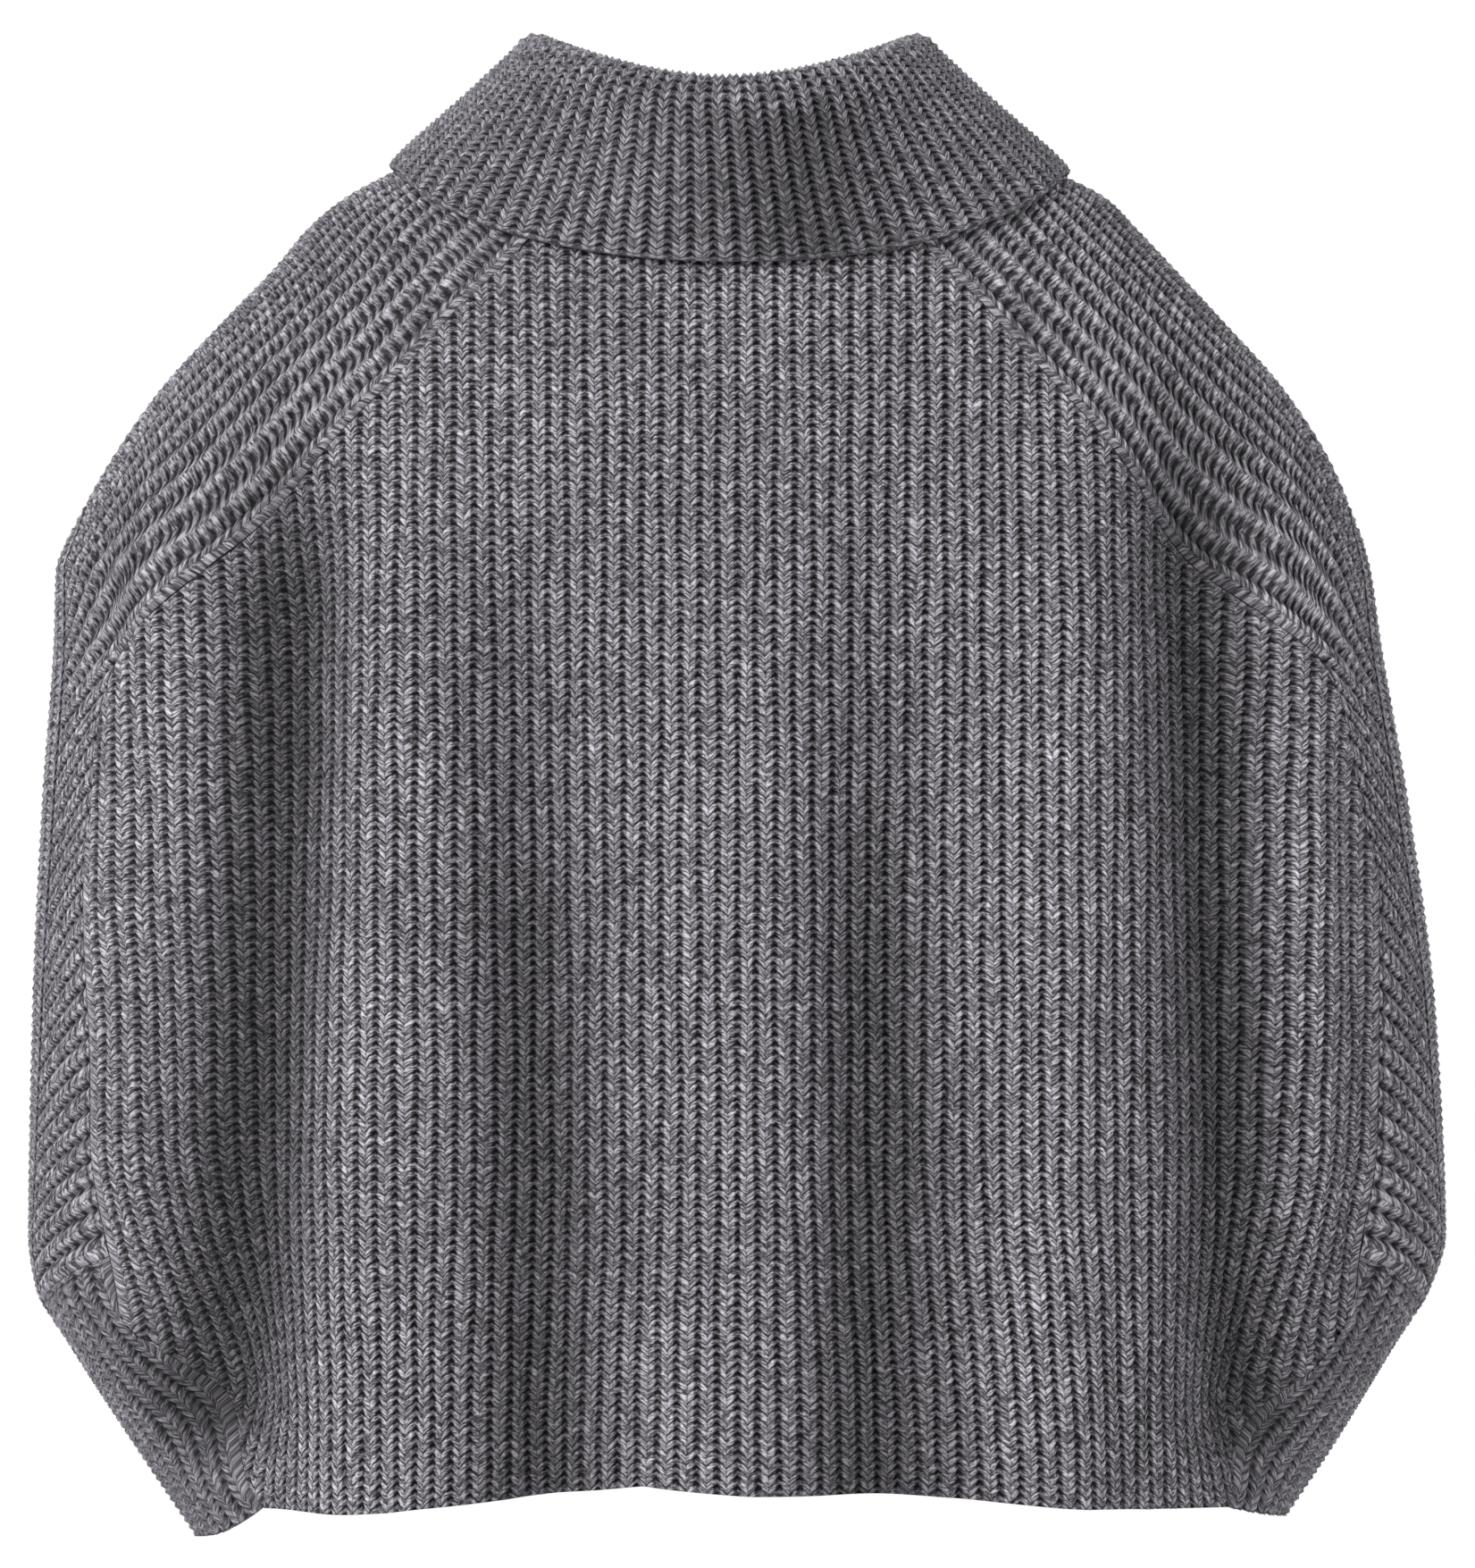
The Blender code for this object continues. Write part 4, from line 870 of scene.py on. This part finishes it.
def gusset_sheet(side):
    seam = seam_rows(GUSSET_SEAM, side)
    start_z = np.linspace(SIDE_LOW_Z, seam[0, 1], GUSSET_START_STEPS, endpoint=False)
    seam = np.concatenate([np.stack([side_edge(start_z, side), start_z], axis=-1), seam])
    inside = float(turn_at(seam[0, 0], seam[0, 1], side))
    gap = np.linspace(LOOP_GAP, -LOOP_GAP, LOOP_GAP_STEPS + 1)
    turn, z = loop_line(side, True, gap % 1.0)
    top = np.array([(inside, seam[0, 1])] + list(zip(turn, z)) + [(180.0 - inside, seam[0, 1])])
    half_gap = LOOP_GAP_STEPS / (4.0 * GUSSET_RIBS)
    top_at = np.concatenate([[0.0], np.linspace(0.5 - half_gap, 0.5 + half_gap, LOOP_GAP_STEPS + 1), [1.0]])

    def sheet_at(u, v, is_outer):
        rib = u * GUSSET_RIBS
        along = (1.0 - v) * GUSSET_STITCHES
        drop = slant(rib) if is_outer else 0.0
        share = np.clip((along + drop * smooth_step(along / 2.0)) / GUSSET_STITCHES, GUSSET_GAP, 1.0)
        at = np.clip(u, GUSSET_GAP, 1.0 - GUSSET_GAP)
        on_seam = on_line(seam, share)
        seam_turn = turn_at(on_seam[..., 0], on_seam[..., 1], side)
        down = (on_seam[..., 1] - seam[0, 1]) / (seam[-1, 1] - seam[0, 1])
        outside = np.abs(2.0 * at - 1.0)
        tip = TIP_Z[side] + (seam[-1, 1] - TIP_Z[side]) * outside**TIP_POWER
        top_z = np.interp(at, top_at, top[:, 1])
        z = top_z + (tip - top_z) * down
        z = np.where(outside > ON_SEAM, on_seam[..., 1], z)
        plain_turn = seam_turn + (180.0 - 2.0 * seam_turn) * at
        top_turn = np.interp(at, top_at, top[:, 0])
        top_turn = np.where(outside > ON_SEAM, plain_turn, top_turn)
        turn = top_turn * (1.0 - down) + plain_turn * down
        rib = np.clip(rib, SEAM_LEG, GUSSET_RIBS - SEAM_LEG)
        stitch = along + 0.5  # so that the upper edge lies on a crest
        lift = np.full(u.shape, -WALL)
        if is_outer:
            border = (np.abs(2.0 * u - 1.0) > 1.0 - TINY) | (v > 1.0 - TINY)
            lift = np.where(border, SEAM_LIFT, knit_height(RIB, rib, stitch))
        points = cloth_points(side * turn, z, lift)
        return points, rib, stitch, cloth_marks(points)

    return sheet_at


# %% Knit the gussets
gusset_grids = (4 * GUSSET_RIBS, 2 * GUSSET_STITCHES), (GUSSET_RIBS, GUSSET_INNER_ROWS)
gussets = {}
for label, side in (("left", -1), ("right", 1)):
    gussets[label] = knit_wall("knit_gusset_" + label, gusset_sheet(side), *gusset_grids)

# %% [markdown]
# ## Collar
# The collar is one deep tube, sewn to the neck and turned down over itself. Simulated cloth would not turn
# down as evenly, so four rings shape it: the neck seam, the fold, the layer just past the fold and the
# edge, which lies on the shoulders. Each column of the grid is a smooth line through the rings' points, and
# the stitches are counted along it, so they shrink and fan with the collar as real ribs do.

# %% Values of the collar
COLLAR_RIBS, COLLAR_STITCHES, COLLAR_INNER_ROWS = 84, 39, 16
FOLD_X, FOLD_HALF_WIDTH, FOLD_BACK, FOLD_FRONT = -0.0055, 0.0965, 0.098, 0.106
FOLD_SIDE_Z, FOLD_BACK_Z, FOLD_FRONT_Z = 0.0500, 0.0280, -0.0040
FOLD_POWER = 1.8  # how late the fold climbs from the back or front to the sides
FOLD_GAP, FOLD_DROP = 0.009, 0.008
TURN_LEFT_Z, TURN_RIGHT_Z, TURN_BACK_Z, TURN_FRONT_Z = -0.0165, -0.0195, -0.0630, -0.0930
TURN_POWER = 2.7
TURN_CLEAR, TURN_SIDE_CLEAR = 0.0040, 0.0016
TURN_BULGE, TURN_SIDE_BULGE = 0.0035, -0.0010
RIB_RISE = 0.0020
FOOT_CLEAR, FOOT_STEP = 0.0010, 0.0030
EDGE_ROUND, EDGE_THICK = 1.4, 0.25  # stitches over which the edge rounds off, share of thickness left
SIDE_ROUND, SIDE_FROM = 9.0, 0.6  # the same past this share of the reach, on the shoulders, where it thins
EDGE_KEEP = 0.6  # a row never drops by more than this share of its distance to the edge
TURNED_FROM, TURNED_RUN = 0.42, 0.12  # share of the collar's depth where the turned-down layer starts
SAG_X, SAG_WIDE, SAG, SAG_PAINTED_SHADE = 0.034, 0.046, 0.0050, 0.62  # where that layer sags behind the neck, how far, and the painted shade in the sag
print("collar ribs:", COLLAR_RIBS, "stitches:", COLLAR_STITCHES)


# %% Rings of the collar
def ring_of(line_at, count):
    """Even columns round the neck from the middle of the back, quarter by quarter, towards +X."""
    fine = np.linspace(0.0, 90.0, 2 * NECK_SAMPLES)
    quarters = [line_at(start + fine) for start in (0.0, 90.0, 180.0, 270.0)]
    return np.concatenate([on_line(line, np.arange(count // 4) / (count // 4)) for line in quarters])


def neck_line(turn, drop=0.0):
    wrapped = (turn + 180.0) % 360.0 - 180.0
    return form_points(wrapped, neck_z(wrapped) - drop)


def fold_line(turn):
    angle = np.radians(turn)
    at_back = np.cos(angle) > 0
    low_z = np.where(at_back, FOLD_BACK_Z, FOLD_FRONT_Z)
    x = FOLD_X + FOLD_HALF_WIDTH * np.sin(angle)
    y = -np.where(at_back, FOLD_BACK, FOLD_FRONT) * np.cos(angle)
    return np.stack([x, y, low_z + (FOLD_SIDE_Z - low_z) * np.abs(np.sin(angle)) ** FOLD_POWER], axis=-1)


def turned_edge(turn):
    wrapped = (turn + 180.0) % 360.0 - 180.0
    cosine = np.cos(np.radians(wrapped))
    low_z = np.where(cosine > 0, TURN_BACK_Z, TURN_FRONT_Z)
    side_z = np.where(wrapped > 0, TURN_RIGHT_Z, TURN_LEFT_Z)
    z = side_z + (low_z - side_z) * np.abs(cosine) ** TURN_POWER
    clear = TURN_SIDE_CLEAR + (TURN_CLEAR - TURN_SIDE_CLEAR) * cosine**2
    return cloth_points(wrapped, z, RIB_RISE + clear)


print("fold behind the neck:", np.round(fold_line(np.zeros(1)), 3)[0])


# %% Steps from the neck to the edge
def collar_climb(count):
    """Points of the neck seam and the directions in which the cloth climbs square to it."""
    neck = ring_of(neck_line, count)
    along = np.roll(neck, -1, axis=0) - np.roll(neck, 1, axis=0)
    along /= np.linalg.norm(along, axis=1, keepdims=True)
    climb = neck - ring_of(lambda turn: neck_line(turn, FOOT_STEP), count)
    climb -= along * np.sum(climb * along, axis=1, keepdims=True)
    return neck, climb / np.linalg.norm(climb, axis=1, keepdims=True)


def sag_at(points):
    return np.exp(-(((points[..., 0] - SAG_X) / SAG_WIDE) ** 2)) * (points[..., 1] < 0.0)


def collar_steps(count):
    """Points [column, step] of the collar's plain face: neck seam, fold, turned-down edge."""
    neck, climb = collar_climb(count)
    fold, edge = ring_of(fold_line, count), ring_of(turned_edge, count)
    outward = edge - neck
    outward[:, 2] = 0.0
    outward /= np.linalg.norm(outward, axis=1, keepdims=True)
    drop = np.array([0.0, 0.0, FOLD_DROP])
    inner, outer = fold - outward * FOLD_GAP - drop, fold + outward * FOLD_GAP - drop
    foot = neck + climb * FOOT_CLEAR
    fall = edge - outer
    bulge = np.cross(np.roll(edge, -1, axis=0) - np.roll(edge, 1, axis=0), fall)
    bulge /= -np.linalg.norm(bulge, axis=1, keepdims=True)
    bulge *= TURN_BULGE + (TURN_SIDE_BULGE - TURN_BULGE) * outward[:, :1] ** 2 - SAG * sag_at(edge)[:, None]
    steps = [foot, 0.5 * (foot + inner), inner, fold, outer, outer + fall / 3.0 + bulge]
    return np.stack(steps + [edge - fall / 3.0 + bulge, edge], axis=1)


print("collar steps:", collar_steps(8).shape)


# %% Collar grid
def smooth_lines(steps, share):
    """Points at shares of the length of each column's smooth line through its steps."""
    columns, count, _ = steps.shape
    chord = run_along(steps)
    slope = np.gradient(steps, axis=1) / np.gradient(chord, axis=1)[..., None]
    made = np.zeros(share.shape + (3,))
    for k in range(columns):
        at = share[k] * chord[k, -1]
        cell = np.clip(np.searchsorted(chord[k], at, side="right") - 1, 0, count - 2)
        size = (chord[k, cell + 1] - chord[k, cell])[:, None]
        t = (at - chord[k, cell])[:, None] / size
        ends = steps[k, cell], steps[k, cell + 1], slope[k, cell], slope[k, cell + 1]
        made[k] = curve_between(*ends, size, t)
    return made


def collar_sheet(u, v, is_outer):
    count = u.shape[0] - 1
    rib = u * COLLAR_RIBS
    along = v * COLLAR_STITCHES
    steps = collar_steps(count)
    steps = np.concatenate([steps, steps[:1]], axis=0)
    share = v.copy()
    if is_outer:
        fade = smooth_step(along / 2.0) * smooth_step(COLLAR_STITCHES - along)
        uneven = np.random.default_rng(3).normal(0.0, UNEVEN, (COLLAR_RIBS, COLLAR_STITCHES + 2))
        shake = uneven[np.floor(rib + TINY).astype(int) % COLLAR_RIBS, np.floor(along).astype(int)]
        shift = np.minimum((slant(rib) + shake) * fade, EDGE_KEEP * (COLLAR_STITCHES - along))
        share = (along + shift) / COLLAR_STITCHES
        share[-1] = share[0]
    points = smooth_lines(steps, share)
    if is_outer:
        even = smooth_lines(steps, v)
        wide = np.concatenate([even[-2:-1], even, even[1:2]], axis=0)
        round_it = wide[2:] - wide[:-2]
        onward = np.gradient(even, axis=1)
        climb = collar_climb(count)[1]
        onward[:, 0] = np.concatenate([climb, climb[:1]], axis=0)
        normal = np.cross(onward, round_it)
        normal /= np.linalg.norm(normal, axis=-1, keepdims=True)
        reach = np.abs(points[:, -1:, 0])
        on_shoulder = smooth_step((reach / reach.max() - SIDE_FROM) / (1.0 - SIDE_FROM))
        taper = EDGE_ROUND + (SIDE_ROUND - EDGE_ROUND) * on_shoulder
        flat = 1.0 - np.clip((COLLAR_STITCHES - along) / taper, 0.0, 1.0)
        rounding = EDGE_THICK + (1.0 - EDGE_THICK) * np.sqrt(1.0 - flat**2)
        points = points + normal * (rounding * (WALL + knit_height(RIB, rib, along)))[..., None]
        points[-1] = points[0]
    # painted shade where the turned-down layer sags behind the neck
    turned = smooth_step((along / COLLAR_STITCHES - TURNED_FROM) / TURNED_RUN)
    marks = cloth_marks(points, painted_shade_depth=SAG_PAINTED_SHADE * sag_at(points) * turned)
    return points, rib, along, marks


# %% Knit the collar
collar_grids = (4 * COLLAR_RIBS, 2 * COLLAR_STITCHES), (COLLAR_RIBS, COLLAR_INNER_ROWS)
collar = knit_wall("knit_collar", collar_sheet, *collar_grids)

# %% [markdown]
# ## Knit material
# The yarn is a grey heather: charcoal and pale fibres spun together, with a faint violet tinge. A painted
# picture would blur and repeat, so the material works from the UV map, where U counts the columns and V
# the stitches, and its yarn always runs along the modelled legs. It multiplies short pale and dark flecks
# along each leg, painted shade in the valleys and between the legs where light cannot reach, a slow drift
# of tone over the whole garment and painted shade in the depth of the folds and the collar's sag. A bump
# of the yarn's round plies and loose fibres, and a sheen for its nap, finish it.

# %% Node helpers
class Nodes:
    """Adds nodes to one tree. What one node gives goes straight into the next one's inputs."""

    def __init__(self, tree):
        self.tree = tree

    def add(self, kind, inputs=None, **settings):
        node = self.tree.nodes.new(kind)
        for key, value in settings.items():
            setattr(node, key, value)
        for key, value in (inputs or {}).items():
            if isinstance(value, bpy.types.NodeSocket):
                self.tree.links.new(value, node.inputs[key])
            else:
                node.inputs[key].default_value = value
        return node

    def maths(self, operation, *values):
        return self.add("ShaderNodeMath", dict(enumerate(values)), operation=operation).outputs[0]

    def times(self, value, *others):
        for other in others:
            value = self.maths("MULTIPLY", value, other)
        return value

    def spread(self, value, curve):
        """The value from low..high spread smoothly over to_low..to_high."""
        inputs = dict(zip(("Value", "From Min", "From Max", "To Min", "To Max"), (value, *curve)))
        return self.add("ShaderNodeMapRange", inputs, interpolation_type="SMOOTHSTEP").outputs["Result"]

    def join(self, x, y, z):
        return self.add("ShaderNodeCombineXYZ", {0: x, 1: y, 2: z}).outputs[0]

    def noise(self, place, scale, detail, roughness=0.5):
        inputs = {"Vector": place, "Scale": scale, "Detail": detail, "Roughness": roughness}
        return self.add("ShaderNodeTexNoise", inputs).outputs["Fac"]

    def mark(self, name):
        return self.add("ShaderNodeAttribute", attribute_name=name).outputs["Fac"]


# %% Values of the finish
Curve = namedtuple("Curve", "low high to_low to_high")
FLECK_TONE = Curve(0.36, 0.66, 0.24, 2.05)  # dark and pale fibres
FLECK_LEAN, FLECK_ACROSS, FLECK_ALONG = 0.35, 1.1, 3.3  # slant of the flecks, and how short they are
FLECK_NOISE = (1.6, 2.0, 0.6)  # scale, detail and roughness
COLUMN_SEED, LEG_SEED = 5.3, 2.9  # how far apart in the noise columns and legs lie, so that none are alike
LEG_TONE = Curve(0.0, 1.0, 0.82, 1.20)  # each leg's own share of pale fibres
HOLE_SHADE = Curve(0.12, 0.36, 0.54, 0.86)  # shade in the valley, from a stitch's middle to its ends
GROOVE = Curve(0.0, 0.12, 0.58, 1.0)  # shade between the two legs
BETWEEN = Curve(0.24, 0.5, 1.16, 0.30)  # and between two stitches
VALLEY_WIDTH = 0.24
TROUGH = Curve(0.26, 0.54, 0.0, 1.0)  # painted shade of the ladder knit: its trough,
RUNG_HOLE = Curve(0.16, 0.36, 0.34, 0.86)  # the holes between the rungs there
BETWEEN_LOOPS = Curve(0.22, 0.48, 1.16, 0.66)  # and the shade between two loops
DRIFT_SCALE, DRIFT_TONE = 14.0, Curve(0.3, 0.7, 0.90, 1.10)  # slow drift of the heather
FOLD_PAINTED_SHADE = Curve(-0.35, 1.0, 1.08, 0.33)  # painted shade, from a ridge to the depth of a fold
TINT = (0.953, 0.902, 1.0)  # faint violet tinge
PLY_TURNS, PLY_LEAN = 2.0, 2.4  # plies to a stitch, and how they lean
HALF_ROUND, ALL_ROUND = 3.14159, 6.28318  # radians
FUZZ_SCALE = 1500.0
ROUND_BUMP, PLY_BUMP, FLECK_BUMP, FUZZ_BUMP, BUMP_STRENGTH = 0.0010, 0.00014, 0.0006, 0.0005, 0.9
NAP = {
    "Roughness": 0.92,
    "Specular IOR Level": 0.18,
    "Sheen Weight": 0.28,
    "Sheen Roughness": 0.45,
    "Sheen Tint": (0.92, 0.90, 1.0, 1.0),
}
print("bump of a leg:", ROUND_BUMP, "m")


# %% Knit finish
def knit_finish(name, tone, valley_from=0.52):
    """Heather knit. tone is the yarn's middle brightness, valley_from is where the painted shade of a
    column's valley starts, between its middle (0) and its border (1)."""
    material = bpy.data.materials.new(name)
    material.use_nodes = True
    make = Nodes(material.node_tree)
    maths, times, spread = make.maths, make.times, make.spread
    uv = make.add("ShaderNodeSeparateXYZ", {0: make.add("ShaderNodeUVMap").outputs[0]})
    u, v = uv.outputs[0], uv.outputs[1]
    place = make.add("ShaderNodeTexCoord").outputs["Object"]
    column, row = maths("FLOOR", u), maths("FRACT", v)
    across = maths("SUBTRACT", u, column)
    out = maths("ABSOLUTE", maths("SUBTRACT", times(across, 2.0), 1.0))
    off_crest = maths("ABSOLUTE", maths("SUBTRACT", row, 0.5))
    # a number for each leg, the fibres' flecks along it, and its own share of pale ones
    second_leg = maths("GREATER_THAN", across, 0.5)
    seed = maths("ADD", times(column, COLUMN_SEED), times(second_leg, LEG_SEED))
    lean = maths("ADD", v, times(out, FLECK_LEAN))
    on_leg = make.join(times(out, FLECK_ACROSS), times(lean, FLECK_ALONG), seed)
    flecks = make.noise(on_leg, *FLECK_NOISE)
    leg = {"Vector": make.join(seed, maths("FLOOR", v), column)}
    leg_random = make.add("ShaderNodeTexWhiteNoise", leg).outputs["Value"]
    fibres = times(spread(flecks, FLECK_TONE), spread(leg_random, LEG_TONE))
    # shade in the valley, in the groove between two legs and between two stitches
    in_valley = spread(out, Curve(valley_from, valley_from + VALLEY_WIDTH, 0.0, 1.0))
    valley_shade = maths("SUBTRACT", 1.0, times(spread(off_crest, HOLE_SHADE), in_valley))
    shade = times(valley_shade, spread(out, GROOVE), spread(off_crest, BETWEEN))
    # the ladder knit gets painted shade between its rungs only
    ladder_shade = maths("SUBTRACT", 1.0, times(spread(out, TROUGH), spread(off_crest, RUNG_HOLE)))
    ladder_shade = times(ladder_shade, spread(off_crest, BETWEEN_LOOPS))
    shade = make.add("ShaderNodeMix", {0: make.mark("ladder"), 2: shade, 3: ladder_shade}).outputs[0]
    # the random drift of the whole cloth's tone, and painted shade in the depth of a fold
    drift_and_fold_shade = spread(make.noise(place, DRIFT_SCALE, 4.0), DRIFT_TONE)
    drift_and_fold_shade = times(drift_and_fold_shade, spread(make.mark("painted_shade_depth"), FOLD_PAINTED_SHADE))
    value = times(fibres, shade, drift_and_fold_shade, tone)
    colour = make.add("ShaderNodeCombineColor", {k: times(value, TINT[k]) for k in range(3)})
    # bump: each leg is round, its plies wind round it, and fibres stand off it
    turns = times(maths("ADD", times(v, PLY_TURNS), times(out, PLY_LEAN)), ALL_ROUND)
    height = times(maths("SINE", times(row, HALF_ROUND)), ROUND_BUMP)
    height = maths("MULTIPLY_ADD", maths("SINE", turns), PLY_BUMP, height)
    height = maths("MULTIPLY_ADD", flecks, FLECK_BUMP, height)
    height = maths("MULTIPLY_ADD", make.noise(place, FUZZ_SCALE, 2.0), FUZZ_BUMP, height)
    bump = make.add("ShaderNodeBump", {"Strength": BUMP_STRENGTH, "Distance": 1.0, "Height": height})
    shader = material.node_tree.nodes["Principled BSDF"]
    for key, value in NAP.items():
        shader.inputs[key].default_value = value
    make.tree.links.new(colour.outputs[0], shader.inputs["Base Color"])
    make.tree.links.new(bump.outputs[0], shader.inputs["Normal"])
    return material


# %% Dress the pieces
YARNS = [
    ((back, front), knit_finish("panel yarn", 0.298)),
    (sleeves.values(), knit_finish("sleeve yarn", 0.278)),
    (bands.values(), knit_finish("band yarn", 0.27)),
    (gussets.values(), knit_finish("gusset yarn", 0.225)),
    ((collar,), knit_finish("collar yarn", 0.265, valley_from=0.42)),
]
for pieces, yarn in YARNS:
    for piece in pieces:
        piece.data.materials.clear()
        piece.data.materials.append(yarn)
print("yarns:", [yarn.name for pieces, yarn in YARNS])

# %% [markdown]
# ## Standing in for the solids
# Each knitted piece takes the place of its plain solid, which is hidden, and rides on the garment's one
# body.
# Half its surface is printed beside the area of the flat cut it was made from. The sizes could be
# read from the meshes, but a maker starts from the cut, so they are a table.

Cut = namedtuple("Cut", "piece node slot width length area")
CUTS = [
    Cut(back, "back_panel", "panel_knit", 0.75, 0.66, 0.44),
    Cut(front, "front_panel", "panel_knit", 0.75, 0.63, 0.43),
    Cut(sleeves["left"], "sleeve_left", "sleeve_knit", 0.72, 0.30, 0.115),
    Cut(sleeves["right"], "sleeve_right", "sleeve_knit", 0.72, 0.30, 0.115),
    Cut(bands["left"], "armhole_band_left", "band_knit", 0.020, 0.86, 0.0165),
    Cut(bands["right"], "armhole_band_right", "band_knit", 0.020, 0.86, 0.0165),
    Cut(gussets["left"], "gusset_left", "gusset_knit", 0.30, 0.13, 0.027),
    Cut(gussets["right"], "gusset_right", "gusset_knit", 0.30, 0.13, 0.026),
    Cut(collar, "collar", "collar_knit", 0.70, 0.16, 0.105),
]

for cut in CUTS:
    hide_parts(cut.node)
    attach(cut.piece, "root")
    half_area = sum(face.area for face in cut.piece.data.polygons) / 2.0
    print(cut.piece.name, "half its surface:", round(half_area, 4), "flat:", cut.area)

# %% [markdown]
# ## Floor, light and camera
# A big soft light from the upper left models the folds, a weak one fills the right side, and the world
# is plain white behind the garment but dimmer as a light. The camera looks at the back from far away
# with a long lens, which keeps the outline almost as a flat pattern.

# %% Floor
FLOOR_Z, FLOOR_RADIUS = -1.45, 7.0
PAPER = {"Base Color": (0.80, 0.80, 0.80, 1.0), "Roughness": 0.9}

select_nothing()
bpy.ops.mesh.primitive_circle_add(
    vertices=96, radius=FLOOR_RADIUS, fill_type="NGON", location=(0.0, 0.0, FLOOR_Z)
)
floor = bpy.context.active_object
floor.name = "floor"
paper = bpy.data.materials.new("pale paper")
paper.use_nodes = True
for key, value in PAPER.items():
    paper.node_tree.nodes["Principled BSDF"].inputs[key].default_value = value
floor.data.materials.append(paper)
print("floor at", FLOOR_Z, "m")

# %% Lights
MIDDLE = (0.0, 0.0, -0.33)  # of the garment


def soft_light(name, place, size, power):
    """A square area light that faces the middle of the garment."""
    bpy.ops.object.light_add(type="AREA", location=place)
    light = bpy.context.active_object
    light.name = name
    light.data.size = size
    light.data.energy = power
    aim = Vector(MIDDLE) - light.location
    light.rotation_euler = aim.to_track_quat("-Z", "Y").to_euler()
    return light


key = soft_light("key", (-2.9, -3.2, 1.6), 1.5, 165.0)
fill = soft_light("fill", (3.4, -2.6, 0.6), 2.2, 48.0)
rear = soft_light("rear", (1.2, 3.4, 1.8), 2.0, 60.0)

world = bpy.data.worlds.new("studio")
bpy.context.scene.world = world
world.use_nodes = True
world.node_tree.nodes.clear()
make = Nodes(world.node_tree)
seen = make.add("ShaderNodeBackground", {"Color": (1.0, 1.0, 1.0, 1.0), "Strength": 1.0})
dim = make.add("ShaderNodeBackground", {"Color": (0.98, 0.99, 1.0, 1.0), "Strength": 0.34})
by_eye = make.add("ShaderNodeLightPath").outputs["Is Camera Ray"]
both = make.add("ShaderNodeMixShader", {0: by_eye, 1: dim.outputs[0], 2: seen.outputs[0]})
make.add("ShaderNodeOutputWorld", {"Surface": both.outputs[0]})
print("lights:", [light.name for light in (key, fill, rear)])

# %% Camera
CAMERA_PLACE, LENS, FARTHEST = (0.0002, -24.0, -0.3229), 1094.0, 60.0  # metres, millimetres, metres
bpy.ops.object.camera_add(location=CAMERA_PLACE, rotation=(np.pi / 2.0, 0.0, 0.0))
camera = bpy.context.active_object
camera.data.lens = LENS
camera.data.clip_end = FARTHEST
bpy.context.scene.camera = camera
bpy.context.scene.view_settings.view_transform = "Standard"
print("camera", -CAMERA_PLACE[1], "m away with a lens of", LENS, "mm")
